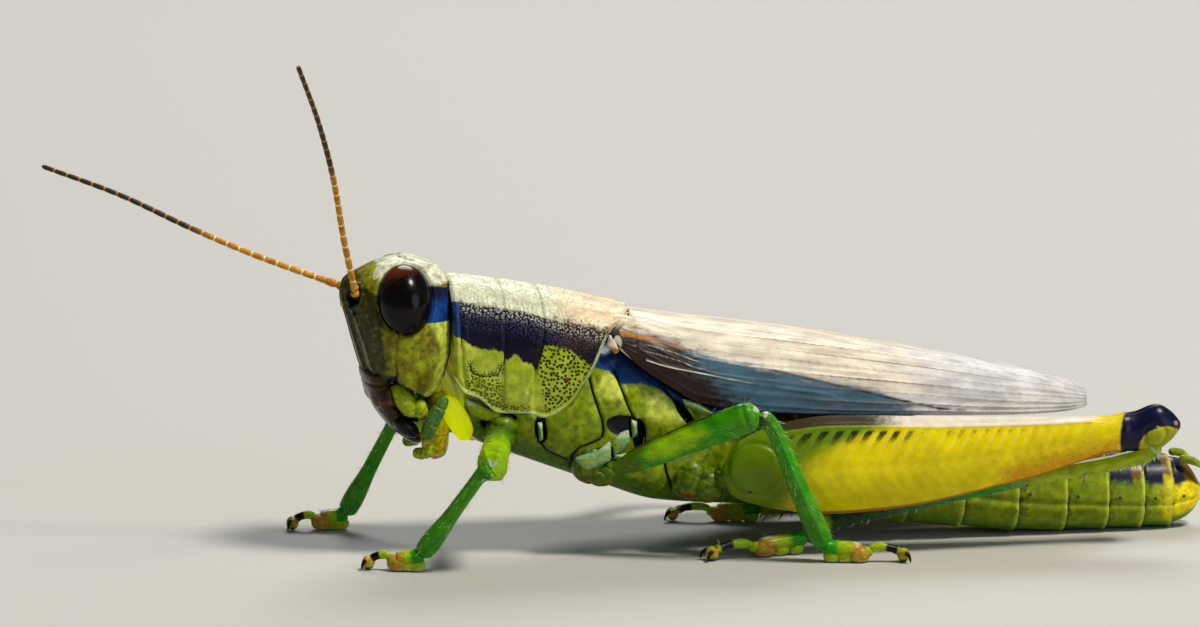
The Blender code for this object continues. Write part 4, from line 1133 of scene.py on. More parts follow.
BELLY_BOTTOM = (
    (4.0, 1.3), (4.56, 1.22), (8.1, 0.66), (11.05, 0.33), (14.4, 0.03), (18.3, 0.03), (19.0, 0.25),
    (19.6, 0.85),
)
BELLY_TOP = (
    (4.0, 5.2), (4.56, 5.1), (8.1, 4.3), (11.0, 3.6), (14.7, 2.85), (17.0, 2.45), (18.9, 2.15), (19.6, 1.35),
)
BELLY_HALF_WIDTH = (
    (4.0, 1.72), (4.56, 1.75), (8.1, 1.7), (13.0, 1.45), (17.0, 1.2), (18.9, 0.85), (19.6, 0.35),
)
BELLY_RINGS = np.array((4.2, 6.1, 7.9, 9.7, 11.5, 13.3, 14.9, 16.3, 17.5, 18.5, 19.62))
TAIL_FEELER = ((18.75, 0.62, 2.28), (19.15, 0.75, 2.2), (19.58, 0.7, 1.93))
TAIL_FEELER_SIZES = ((0.0, 0.13, 0.12), (0.5, 0.13, 0.12), (1.0, 0.05, 0.05))


def build_belly():
    """Belly: rings of thinner, springy plate, each ring's rear edge lapping over the next one."""
    xs = np.linspace(4.3, 19.6, 420)
    points = trunk_grid(xs, BELLY_BOTTOM, BELLY_TOP, BELLY_HALF_WIDTH, 180, 2.3, 2.1)
    x, y, z = xyz(points)
    low = along(BELLY_BOTTOM, x)
    deep = along(BELLY_TOP, x) - low
    ring = np.clip(np.searchsorted(BELLY_RINGS, x, side="right") - 1, 0, len(BELLY_RINGS) - 2)
    after = x - BELLY_RINGS[ring]
    phase = after / (BELLY_RINGS[ring + 1] - BELLY_RINGS[ring])
    level = (z - low) / deep
    flank = swell(level - 0.36, 0.035) * ease(0.3, 0.6, np.abs(y) / along(BELLY_HALF_WIDTH, x))
    breath = np.hypot(after - 0.35, (level - 0.45) * deep)
    height = 0.075 * phase ** 1.5 - 0.05 * swell(after, 0.08) - 0.06 * flank
    height = height * ease(19.6, 19.2, x) + 0.02 * swell(breath - 0.08, 0.03)
    points = raise_by(points, height)
    marks = {
        "rim": edge(0.14 - (BELLY_RINGS[ring + 1] - x), 0.35) * 0.75,
        "shade": edge(np.minimum(0.3 - phase, 0.72 - level), 0.9) * 0.6,
        "tip": edge(x - 18.0, 1.4) * 0.8,
        "back": edge(level - 0.74 + 0.05 * np.sin(x * 3.4), 0.2),
        "navy": edge(np.minimum(0.33 - np.abs(phase - 0.35), level - 0.62), 0.2)
        * window(x, 15.5, 16.2, 18.7, 19.2) * 0.8,
        "seam": np.clip(0.6 * swell(after, 0.06) + 0.4 * flank + ease(0.07, 0.04, breath), 0, 1),
        # under: darker along the underside, painted shade.
        "under": edge(0.16 - level, 0.3),
    }
    c = colours()
    shell = cuticle(
        "belly_chitin", c.belly, c.femur_base, (
            ("shade", c.face, 0.8), ("tip", c.femur, 0.5), ("back", c.mottle, 0.7),
            ("under", c.femur_base, 0.4), ("rim", c.plate_light, 0.4), ("navy", c.knee, 0.6),
            ("seam", c.face, 0.1),
        ), cloud=0.6, contrast=0.6, grain=0.08, grain_depth=0.006, roughness=0.34,
        freckle=(c.mottle, 0.25, 0.2),
    )
    parts = [f"abdomen_{part}" for part in ("front", "middle", "rear", "tip")]
    body("belly_rings", [(points, marks)], shell, parts)
    grids = []
    for side, _ in SIDES:
        route = across_body(np.array(TAIL_FEELER), side)
        grid, t, _ = tube(route, TAIL_FEELER_SIZES, rows=40, cols=24)
        grids.append((grid, {"rim": 0.6 * t}))
    body("tail_feelers", grids, shell, ["cercus_left", "cercus_right"])


# ---- Mouthparts ----

LIP_SPAN = (3.48, 5.97)
LIP_FRONT = ((3.5, -6.02), (4.1, -6.74), (4.6, -7.13), (5.14, -7.39), (5.5, -7.52), (5.95, -7.62))
LIP_REAR = ((3.5, -5.75), (4.1, -6.1), (4.6, -6.5), (5.14, -6.75), (5.95, -6.7))
LIP_HALF_WIDTH = ((3.5, 0.5), (3.8, 0.85), (4.4, 1.15), (5.14, 1.25), (5.95, 1.28))
CHIN_SPAN = (2.93, 5.3)
CHIN_FRONT = ((2.95, -5.45), (3.15, -5.62), (3.6, -5.66), (4.2, -5.6), (5.3, -5.56))
CHIN_REAR = ((2.95, -5.2), (3.15, -5.0), (3.6, -4.92), (5.3, -4.98))
CHIN_HALF_WIDTH = ((2.95, 0.45), (3.3, 0.9), (4.2, 1.2), (5.3, 1.3))
# Each palp's name, route on the right side, half thickness and number of joints.
PALPS = (
    ("maxillary", ((-5.2, 1.5, 5.15), (-5.36, 1.62, 4.82), (-5.63, 1.62, 4.3), (-5.82, 1.55, 3.8)), 0.235, 3),
    ("labial", ((-5.5, 1.15, 3.55), (-5.8, 1.2, 3.3), (-6.12, 1.0, 3.3)), 0.19, 2),
)


def level_grid(outline, span, rows, cols):
    """A body of level slices; its outline is its front, rear and half width against height."""
    front, rear, half = outline
    rise = 0.5 - 0.5 * np.cos(np.linspace(0, PI, rows))[:, None]
    z = span[0] + (span[1] - span[0]) * rise
    forward, across = rounded(round_angles(cols), 2.6)
    close = round_ends(0.22, z - span[0], span[1] - z) * 0.96 + 0.04
    a, b = along(front, z), along(rear, z)
    x = (a + b) / 2 - forward * (b - a) / 2 * close
    y = across * along(half, z) * close * (1 - 0.1 * np.maximum(forward, 0) ** 2)
    return np.stack([x, y, z + 0 * x], axis=-1)


def lip_grid():
    """The upper lip, with the hem, groove and two lobes across it."""
    points = level_grid((LIP_FRONT, LIP_REAR, LIP_HALF_WIDTH), LIP_SPAN, 110, 130)
    _, y, z = xyz(points)
    out = np.abs(y)
    step = z - 4.72 - 0.05 * out
    knob = np.hypot(out - 0.85, z - 4.95)
    height = (
        0.06 - 0.09 * swell(step, 0.05) - 0.05 * swell(z - 5.52, 0.04) + 0.07 * swell(knob, 0.28)
        - 0.08 * swell(y, 0.07) * ease(4.0, 3.7, z) - 0.03 * swell(y, 0.04) * ease(4.7, 4.4, z)
        - 0.05 * swell(np.hypot(out - 0.45, z - 4.2), 0.16)
    )
    return raise_by(points, height), {
        "amber": 0.42 * edge(0.24 - knob, 0.4),
        "seam": np.clip(0.8 * swell(step, 0.04) + ease(4.7, 4.3, z) * 0.6, 0, 1),
        # The pink spot low on each side of the lip is a painted highlight.
        "pale": spot(out, z, (0.55, 3.62), 0.1, 0.2) * 0.8,
    }


def jaw_grids():
    """The right jaw: a keeled blade with its dark teeth, the cheek behind it and the stem above."""
    jaw = lobe((-6.37, 1.12, 4.93), (0.31, 0.42, 0.72), (0, -36, 0), 2.2, 60, 60)
    tip = edge(4.5 - jaw[..., 2], 0.25)
    keel = swell(jaw[..., 0] + 6.45 + (jaw[..., 2] - 4.9) * 0.75, 0.06)
    jaw = raise_by(jaw, 0.03 * keel - 0.03 * swell(jaw[..., 2] - 4.45, 0.05))
    cheek = lobe((-5.94, 1.25, 4.72), (0.25, 0.34, 0.34), (0, -12, 0), 2.2, 40, 44)
    groove = swell(cheek[..., 2] - 4.6 - (cheek[..., 0] + 5.93), 0.05)
    stem = lobe((-6.98, 1.08, 5.08), (0.27, 0.34, 0.44), (0, -8, 0), 2.3, 36, 40)
    jaw_seam = edge(0.3 - np.abs(jaw[..., 1] - 1.12) / 0.42, 0.5)
    return [
        (jaw, {"green": edge(jaw[..., 2] - 4.5, 0.3), "seam": np.maximum(tip, jaw_seam)}),
        (raise_by(cheek, -0.03 * groove), {
            "green": edge(cheek[..., 2] - 4.45, 0.3),
            "seam": edge(0.3 - np.abs(cheek[..., 1] - 1.25) / 0.34, 0.5),
        }),
        (lobe((-6.36, 1.0, 4.16), (0.26, 0.4, 0.5), (0, -52, 0), 2.2, 36, 40), {"seam": 0.85}),
        (stem, {"amber": 0.42 * band(stem[..., 2], 4.95, 0.2, 0.4)}),
    ]


def chin_grid():
    """The lower lip, split at its tip and lapped halfway down."""
    points = level_grid((CHIN_FRONT, CHIN_REAR, CHIN_HALF_WIDTH), CHIN_SPAN, 80, 100)
    _, y, z = xyz(points)
    out = np.abs(y)
    split = swell(y, 0.06) * ease(4.0, 3.7, z)
    lap = z - 3.95 - 0.12 * np.cos(y * 3)
    height = 0.03 - 0.12 * split - 0.07 * swell(lap, 0.06)
    height = height - 0.05 * swell(out - 0.62, 0.05) * ease(3.9, 3.6, z)
    return raise_by(points, height), {
        "green": 0.6 + 0.4 * edge(z - 3.3, 0.5), "yellow": 0.75 * edge(out - 0.3, 0.4),
        "amber": 0.55 * band(z, 3.3, 0.2, 0.4), "pale": band(z, 3.05, 0.12, 0.12),
        "seam": np.clip(swell(lap, 0.05) + split, 0, 1) * 0.55,
    }


def build_mouth():
    """Mouthparts: dark, horny jaws and lips, their edges worn glossy, with soft-jointed palps."""
    c = colours()
    horn = cuticle(
        "mouth_chitin", c.face, c.rust, (
            ("green", c.plate, 0.5), ("yellow", c.femur, 0.4), ("amber", c.femur_rim, 0.4),
            ("pale", c.blush, 0.3), ("seam", c.seam, 0.1),
        ), cloud=0.3, contrast=0.6, grain=0.06, grain_depth=0.006, tone=0.4,
    )
    body("lips", [lip_grid()], horn, ["labrum"])
    for side, word in SIDES:
        body(f"jaw_{word}", on_side(jaw_grids(), side), horn, [f"mandible_{word}"])
    body("lower_lip", [chin_grid()], horn, ["labium"])
    # Palps: thin, pale shell on soft joints; light spreads a little way under it.
    soft = cuticle(
        "palp_chitin", c.shin, c.femur_base,
        (("joint", c.plate, 0.2), ("tip", c.femur_base, 0.3), ("seam", c.seam, 0.1)),
        cloud=0.25, contrast=0.6, grain=0.04, grain_depth=0.003, glow=0.1, tone=0.5,
    )
    for side, word in SIDES:
        for name, route, thick, joints in PALPS:
            knots = [(t, thick * part, thick * part) for t, part in ((0.0, 0.75), (0.6, 1.0), (1.0, 0.8))]
            grid, t, _ = tube(across_body(np.array(route), side), knots, rows=110, cols=32, blunt=0.13)
            gap = np.abs((t * joints + 0.5) % 1 - 0.5) / joints
            grid = raise_by(grid, -0.035 * swell(gap, 0.025) * ease(0.05, 0.15, t))
            marks = {
                "joint": 0.5 * edge(0.05 - gap, 0.1) if name == "maxillary" else 0.9,
                "tip": 0.8 * edge(t - 0.85, 0.3), "seam": 0.35 * swell(gap, 0.02),
            }
            body(f"{name}_feeler_{word}", [(grid, marks)], soft, [f"{name}_palp_{word}"])


# ---- Legs ----

# Hip, knee, ankle and toe of each leg that stands out from the body, as on the right side.
MID_LEG = ((-0.1, 2.3, 2.75), (4.25, 4.3, 4.8), (6.4, 4.2, 0.5), (8.7, 4.62, 0.0))
LEG_POINTS = {
    ("front", LEFT): ((-3.45, 1.6, 3.85), (-4.2, 4.6, 3.4), (-6.25, 3.5, 0.5), (-7.75, 2.95, 0.0)),
    ("front", RIGHT): ((-3.55, 1.6, 3.88), (-5.9, 3.15, 3.7), (-7.65, 3.7, 0.5), (-9.25, 3.9, 0.0)),
    ("mid", LEFT): MID_LEG,
    ("mid", RIGHT): MID_LEG,
}
FEMUR_SIZES = {
    "front": ((0.0, 0.34, 0.3), (0.2, 0.48, 0.4), (0.6, 0.52, 0.44), (0.88, 0.54, 0.46), (1.0, 0.42, 0.38)),
    "mid": (
        (0.0, 0.2, 0.19), (0.07, 0.22, 0.21), (0.18, 0.35, 0.3), (0.4, 0.44, 0.37), (0.75, 0.48, 0.39),
        (0.92, 0.47, 0.38), (1.0, 0.36, 0.32),
    ),
}
TIBIA_SIZES = {
    "front": (
        (0.0, 0.26, 0.26), (0.12, 0.28, 0.26), (0.35, 0.2, 0.2), (0.65, 0.22, 0.22), (0.9, 0.32, 0.3),
        (1.0, 0.28, 0.26),
    ),
    "mid": (
        (0.0, 0.26, 0.26), (0.1, 0.27, 0.26), (0.3, 0.25, 0.25), (0.6, 0.28, 0.27), (0.9, 0.35, 0.33),
        (1.0, 0.3, 0.3),
    ),
}
SHIN_BOW = {"front": (-0.05, 0.0, 0.1), "mid": (0.16, 0.0, 0.1)}
# Centre, radii and angles of the lumps of each hip, as on the right side.
HIPS = {
    "front": (
        ((-3.4, 1.5, 3.95), (0.5, 0.56, 0.62), (0, 20, 0)),
        ((-3.52, 1.85, 3.7), (0.34, 0.36, 0.36), (0, 0, 0)),
    ),
    "mid": (
        ((-0.62, 1.82, 2.95), (0.56, 0.56, 0.66), (0, 28, 0)),
        ((-0.32, 2.05, 2.62), (0.44, 0.4, 0.38), (0, 0, 0)),
        ((-0.02, 2.25, 2.74), (0.3, 0.3, 0.34), (0, -24, 0)),
    ),
    "hind": (
        ((2.55, 1.98, 2.4), (0.6, 0.6, 0.66), (0, 24, 0)),
        ((3.05, 2.2, 2.2), (0.5, 0.56, 0.56), (0, 0, 0)),
        ((3.5, 2.6, 2.55), (0.3, 0.36, 0.46), (0, 0, 0)),
    ),
}
FOOT_LENGTH = 2.54
# Place along the foot and size of each pad under its first joint.
PADS = ((0.24, 0.2), (0.68, 0.22), (1.14, 0.26))
HAIRY_FOOT_PARTS = ((0, 0.8), (5, 1.0))


def foot_material():
    """Shell of the feet: thin and pale, so light spreads under it, with amber pads that look softer."""
    c = colours()
    return cuticle(
        "foot_chitin", c.plate, c.leg_light, (
            ("green", c.leg, 0.3), ("amber", c.amber, 0.5), ("pale", c.pale, 0.2), ("seam", c.seam, 0.2),
        ), cloud=0.25, contrast=0.7, grain=0.04, grain_depth=0.003, glow=0.1,
    )


def around(turn, place):
    """How far a turn is from a place round a limb, which is given in degrees."""
    return np.abs((turn - math.radians(place) + PI) % (2 * PI) - PI)


def ridged(grid, turn, places, height):
    """Raises thin keels that run the length of a limb, at the given places round it."""
    return raise_by(grid, height * sum(swell(around(turn, place), 0.2) for place in places))


def foot_grids(ankle, toe):
    """A three-jointed foot: soft pads under the first joint, a slender last one, a ball and two claws."""
    start = np.array((ankle[0], ankle[1], 0.0))
    run = np.array((toe[0], toe[1], 0.0)) - start
    reach = np.linalg.norm(run)
    ahead = run / reach
    aside = np.array((-ahead[1], ahead[0], 0.0))
    turn = math.degrees(math.atan2(ahead[1], ahead[0]))

    def at(s, out, up):
        return start + ahead * s * reach / FOOT_LENGTH + aside * out + np.array((0, 0, up))

    first, t, _ = tube(
        (at(-0.1, 0, 0.55), at(0.3, 0, 0.46), at(0.8, 0, 0.42), at(1.32, 0, 0.36)),
        ((0, 0.26, 0.26), (0.4, 0.24, 0.27), (0.8, 0.25, 0.29), (1, 0.18, 0.2)), rows=60, cols=30,
    )
    grids = [(first, {
        "green": edge(0.42 - t, 0.4), "amber": edge(t - 0.72, 0.5),
        "pale": edge(first[..., 2] - 0.58, 0.1) * ease(0.6, 0.9, t),
    })]
    for s, size in PADS:
        pad = lobe(at(s, 0, size * 1.02), (size * 1.4, size * 1.12, size * 1.02), (0, 0, turn), 2.4, 24, 30)
        grids.append((pad, {"amber": 0.12 + 0.42 * s, "pale": edge(0.16 - pad[..., 2], 0.16) * 0.5}))
    second = lobe(at(1.42, 0, 0.34), (0.2, 0.17, 0.16), (0, 12, turn), 2.2, 24, 28)
    third, t, _ = tube(
        (at(1.45, 0, 0.4), at(1.85, 0, 0.5), at(2.2, 0, 0.46), at(2.55, 0, 0.34)),
        ((0, 0.1, 0.1), (0.35, 0.14, 0.13), (0.75, 0.12, 0.13), (1, 0.17, 0.18)), rows=60, cols=26,
    )
    grids += [(second, {"amber": 0.3}), (third, {
        "seam": edge(np.minimum(t - 0.52, 0.92 - t), 0.2) * 0.85,
        "pale": edge(third[..., 2] - 0.55, 0.1) * ease(0.5, 0.7, t),
    })]
    for way in (-1, 1):
        hooked = ((2.5, 0.09, 0.34), (2.72, 0.2, 0.34), (2.86, 0.28, 0.2), (2.9, 0.3, 0.05))
        claw, t, _ = tube(
            [at(s, way * out, up) for s, out, up in hooked],
            ((0, 0.075, 0.07), (0.5, 0.055, 0.05), (1, 0.022, 0.022)), rows=30, cols=14, blunt=0.05,
        )
        grids.append((claw, {"seam": edge(t - 0.35, 0.3), "amber": 1 - t}))
    ball = lobe(at(2.66, 0, 0.24), (0.2, 0.23, 0.22), (0, 0, turn), 2.0, 30, 36)
    low = edge(0.16 - ball[..., 2], 0.14)
    grids.append((ball, {"amber": band(ball[..., 2], 0.3, 0.1, 0.3), "seam": low * 0.6}))
    return grids


def build_coxae():
    """Hips: short, cupped joints, each with a collar that the leg turns in."""
    c = colours()
    shell = cuticle(
        "hip_chitin", c.leg_dark, c.femur_base, (
            ("teal", c.teal, 0.4), ("dark", c.mottle, 0.6), ("pale", c.plate_light, 0.4),
            ("seam", c.seam, 0.1),
        ), cloud=0.45, contrast=0.6, grain=0.06, grain_depth=0.006, roughness=0.32,
        freckle=(c.mottle, 0.25, 0.3), tone=0.55,
    )
    for pair, lumps in HIPS.items():
        grids = []
        for k, (centre, radii, angles) in enumerate(lumps):
            grid = lobe(centre, radii, angles, 2.3, 44, 60)
            up = grid[..., 2] - centre[2]
            lip = (up - 0.3 * radii[2]) * 0.9 + (grid[..., 0] - centre[0]) * 0.4
            teal = 0.4 if (pair, k) == ("mid", 0) else 0.1
            # On each lump the pale top is painted highlight and the dark underside painted shade.
            grids.append((raise_by(grid, -0.045 * swell(lip, 0.06)), {
                "teal": edge(up - 0.35 * radii[2], 0.3) * teal, "pale": edge(up - 0.5 * radii[2], 0.4) * 0.35,
                "dark": edge(-0.4 * radii[2] - up, 0.4) * 0.6, "seam": 0.6 * swell(lip, 0.035),
            }))
        for side, word in SIDES:
            name = f"{pair}_hip_{word}"
            body(name, on_side(grids, side), shell, [f"{pair}_coxa_{word}"])


def walking_thigh(pair, side, hip, knee):
    """A thigh's points, its marks and how hairy it is."""
    mid = pair == "mid"
    middle = hip + (knee - hip) * 0.5 + np.array((0, 0, 0.06))
    grid, t, turn = tube((hip, middle, knee), FEMUR_SIZES[pair], rows=150, cols=72, power=2.2, blunt=0.32)
    grid = ridged(grid, turn, (62, 118, 242, 298), 0.035)
    lap = swell(t - 0.93, 0.012)
    upper = np.sin(turn)
    groove = edge(0.26 - around(turn, 70 if side == LEFT else 110), 0.35)
    # A paler band along the middle of each side is a painted highlight; on the front legs the thigh is also
    # painted brighter towards the knee, as a highlight.
    light = edge(0.75 - np.abs(upper - 0.1), 1.3) * window(t, 0.0, 0.5, 0.4, 0.95)
    marks = {
        "dark": groove * window(t, 0.03, 0.12, 0.72, 0.86) * (0.9 if mid else 0.5),
        "light": light * 0.95 if mid else light * 0.2 + 0.75 * edge(t - 0.45, 0.5),
        "root": 0.85 * ease(0.34, 0.1, t) + 0.45 * ease(0.2, 0.8, upper) * ease(0.9, 0.6, t),
        "pale": edge(np.minimum(t - 0.985, 0.3 * upper - 0.15), 0.03), "seam": 0.3 * lap,
    }
    grid = raise_by(grid, 0.02 * swell(t - 0.9, 0.02) - 0.03 * lap)
    return grid, marks, ease(0.1, 0.25, t) * (0.35 + 0.65 * ease(0.2, -0.2, upper))


def walking_shin(pair, side, knee, ankle):
    """A shin's points, its marks and how hairy it is."""
    run = ankle - knee
    bow = np.array(SHIN_BOW[pair])
    route = (
        knee + run * 0.01, knee + run * 0.12 + bow, knee + run * 0.3 + bow * 0.9,
        knee + run * 0.65 + bow * 0.3, ankle,
    )
    grid, t, turn = tube(route, TIBIA_SIZES[pair], up=(1, 0, 0), rows=170, cols=60, blunt=0.25)
    grid = ridged(grid, turn, (0, 180, 245, 295), 0.022)
    outward = np.cos(turn + (0.4 if side == LEFT else PI - 0.4))
    marks = {
        # The pale stripes down the shin are painted highlights.
        "light": edge(np.abs(np.sin(turn * 2)) * 0.3 - 0.22, 0.5) * window(t, 0.1, 0.3, 0.5, 1.0) * 0.6,
        "pale": band(t, 0.055, 0.03, 0.03) * ease(-0.2, 0.5, np.sin(turn)) * 0.8,
        "dark": edge(np.minimum(0.35 - t, outward - 0.55), 0.35) * 0.45,
        "amber": edge(t - 0.985, 0.03) * 0.6, "seam": 0.55 * swell(t - 0.085, 0.01),
    }
    grid = raise_by(grid, -0.03 * swell(t - 0.085, 0.014))
    return grid, marks, 0.4 + 0.6 * ease(0.1, 0.3, t)


def build_walking_legs():
    """Front and middle legs: keeled limbs of thin green shell, glossy, with a little light under it.

    Gives back the skins that bristles grow on."""
    c = colours()
    green = cuticle(
        "green_leg_chitin", c.leg, c.leg_mid, (
            ("light", c.leg_light, 0.4), ("root", c.leg_dark, 0.5), ("dark", c.face, 0.9),
            ("amber", c.femur_rim, 0.3), ("pale", c.pale, 0.2), ("seam", c.seam, 0.1),
        ), cloud=0.8, contrast=0.6, grain=0.07, grain_depth=0.005, glow=0.05,
        freckle=(c.leg_dark, 0.22, 0.2), streak=2.0,
    )
    pads = foot_material()
    skins = []
    for (pair, side), points in LEG_POINTS.items():
        word = dict(SIDES)[side]
        hip, knee, ankle, toe = (np.array(point) * (1, side, 1) for point in points)
        limbs = (
            ("thigh", "femur", walking_thigh(pair, side, hip, knee)),
            ("shin", "tibia", walking_shin(pair, side, knee, ankle)),
        )
        for name, node_, (grid, marks, hairy) in limbs:
            nodes = [f"{pair}_{node_}_{word}"]
            body(f"{pair}_{name}_{word}", [(grid, marks)], green, nodes)
            skins.append((grid, hairy))
        foot = foot_grids(ankle, toe)
        body(f"{pair}_foot_{word}", foot, pads, [f"{pair}_tarsus_{word}"])
        skins += [(foot[part][0], hairy) for part, hairy in HAIRY_FOOT_PARTS]
    return skins


# ---- Jumping legs ----

JUMP_SPAN = (3.35, 18.0)
JUMP_TOP = (
    (3.35, 2.95), (3.9, 3.72), (5.2, 4.2), (6.8, 4.4), (10.7, 4.27), (15.2, 4.17), (16.5, 4.3),
    (17.25, 4.55), (18.0, 4.1),
)
JUMP_BOTTOM = (
    (3.35, 2.3), (3.9, 1.85), (5.2, 1.54), (6.9, 1.36), (8.6, 1.45), (12.9, 2.28), (16.3, 3.12),
    (17.2, 3.1), (18.0, 3.65),
)
JUMP_HALF_WIDTH = (
    (3.35, 0.35), (5.0, 0.66), (7.5, 0.7), (11.0, 0.58), (15.0, 0.38), (16.4, 0.36), (17.2, 0.46),
    (18.0, 0.22),
)
JUMP_OUT = ((3.35, 2.978), (18.0, 3.447))
JUMP_HIP = np.array((3.6, 0.0, 2.75))
JUMP_LIFT = {LEFT: 0.0, RIGHT: -9.8}
KNEE_CENTRE = (17.12, 3.6)
BASE_EDGE = ((1.4, 5.3), (3.0, 5.9), (3.6, 6.8), (4.2, 8.7))
SHIN_ROUTE = np.array((
    (17.3, 3.4, 3.35), (16.9, 3.35, 2.95), (16.0, 3.2, 2.7), (13.0, 3.0, 2.2), (8.5, 2.78, 1.35),
    (6.0, 2.7, 0.85),
))
SHIN_SIZES = (
    (0, 0.24, 0.22), (0.08, 0.3, 0.26), (0.2, 0.26, 0.22), (0.6, 0.24, 0.21), (0.93, 0.27, 0.26),
    (1, 0.24, 0.24),
)
SHIN_ROWS = 260
SPINE_PAIRS = 22
SPINE_COLUMNS = (36, 48)
HIND_TOE = np.array((3.1, 3.35, 0.0))


def lifted(points, side):
    """Points of a jumping leg on one side, turned about its hip by that side's lift."""
    return across_body((points - JUMP_HIP) @ spin((0, -JUMP_LIFT[side], 0)).T + JUMP_HIP, side)


def thigh_grid(rows=330, cols=150):
    """A jumping thigh's points, and how far out and up each is, with the thigh's half depth there."""
    low, high = JUMP_SPAN
    x = (low + (high - low) * (0.5 - 0.5 * np.cos(np.linspace(0.06, PI - 0.06, rows))))[:, None]
    across, up = rounded(round_angles(cols), 1.8)
    top = along(JUMP_TOP, x)
    bottom = along(JUMP_BOTTOM, x)
    close = round_ends(0.3, x - low, high + 0.02 - x) * 0.97 + 0.03
    y = along(JUMP_OUT, x) + across * along(JUMP_HALF_WIDTH, x) * close
    z = (top + bottom) / 2 + up * (top - bottom) / 2 * close
    return np.stack([x + 0 * y, y, z], axis=-1), across + 0 * x, up + 0 * x, (top - bottom) / 2


def jumping_thigh():
    """A jumping thigh: its flat sides are ribbed like a fishbone between two rails, its knee is ringed."""
    points, across, up, half = thigh_grid()
    x, _, z = xyz(points)
    level = up * half
    outer = ease(-0.05, 0.15, across)
    span = window(x, 4.6, 5.6, 14.6, 15.6)
    rail = np.where(up > 0, 0.8, 0.88) * half
    face = ease(0.0, 0.1, rail - np.abs(level)) * span
    pitch = sizes().chevron / MM
    phase = (x - 0.7 * np.abs(level) - 0.12 * level ** 2) / pitch * np.interp(x, (6.0, 14.0), (0.93, 1.05))
    rib = 0.5 + 0.5 * np.cos(2 * PI * phase)
    ring = np.hypot(x - KNEE_CENTRE[0], z - KNEE_CENTRE[1])
    inner = oval(x, z, (17.32, 3.38), (0.68, 0.5), -14)
    knee_side = np.maximum(z - 3.42, 16.8 - x)
    disc = swell(oval(x, z, (4.32, 2.88), (0.84, 0.82)) - 1, 0.08) * outer
    ribs = np.where(level > 0, 0.03, 0.009) * (rib - 0.5) - 0.015 * swell(level, 0.14)
    height = (
        face * ribs * (0.5 + 0.5 * outer) + 0.045 * swell(np.abs(level) - rail - 0.03, 0.06) * span
        + 0.05 * swell(across, 0.07) * window(x, 4.2, 5.0, 16.8, 17.4)
        - 0.05 * swell(ring - 0.36, 0.06) * (np.abs(across) > 0.2) + 0.04 * ease(0.34, 0.1, ring)
        + 0.03 * swell(x - 16.15, 0.1) - 0.05 * disc
    )
    knee = np.min([(inner - 1) * 0.5, 1.15 - ring, knee_side], axis=0)
    return raise_by(points, height), {
        "base": edge(np.interp(z, *zip(*BASE_EDGE)) - x, 3.4),
        "gold": edge(np.minimum(x - 12.0, -0.15 - level + 0.1 * (x - 13)), 1.6) * ease(16.3, 15.8, x) * 0.7,
        "rim": edge(-0.93 * half - level, 0.12) * ease(5.0, 7.0, x) * 0.8
        + 0.42 * band(level, rail, 0.06, 0.1) * window(x, 9.5, 11, 15.6, 16.2),
        "rib": np.where(level > 0, 0.4, 0.1) * face * ease(0.5, 0.0, rib) * outer * ease(14.5, 12.0, x),
        "shade": face * ease(1.0, 0.45, rib) * edge(level - 0.42 * half, 0.8)
        * window(x, 4.8, 5.6, 8.8, 10.8) * 0.66,
        "dots": face * ease(0.95, 0.35, rib) * edge(level - 0.45 * half, 0.6)
        * window(x, 9.6, 10.6, 13.0, 15.0) * 0.55,
        # On the top face, back paints it brown as shade towards the hip and cream paints it as sunlit further
        # back; back also holds a small dark spot at the hip end.
        "back": edge(level - rail - 0.08, 0.12) * window(x, 4.4, 5.8, 9.0, 12.0)
        + edge(0.09 - np.hypot(x - 4.16, (z - 2.13) * 1.6), 0.08),
        "cream": edge(level - rail, 0.12) * window(x, 6.0, 11.2, 14.0, 16.4),
        "knee": edge(knee, 0.25), "joint": edge(1 - inner, 0.6) * 0.9,
        "blush": 0.7 * spot(x, z, (17.8, 3.98), 0.1, 0.2) * ease(0.0, 0.3, across),
        "seam": 0.5 * swell(ring - 0.37, 0.04) * (knee_side < 0.1) + 0.42 * disc * ease(4.9, 4.3, x),
    }


def spine_roots(shin):
    """Root, aim and size of the spines that stand in two rows along a jumping shin."""
    spines = []
    for row in (int(SHIN_ROWS * (0.22 + 0.034 * k)) for k in range(SPINE_PAIRS)):
        centre = shin[row].mean(axis=0)
        ahead = unit(shin[row + 4].mean(axis=0) - centre)
        for column in SPINE_COLUMNS:
            root = shin[row, column]
            spines.append((root, unit(root - centre) + 0.75 * ahead, 0.75 + 0.25 * math.sin(row)))
    return spines


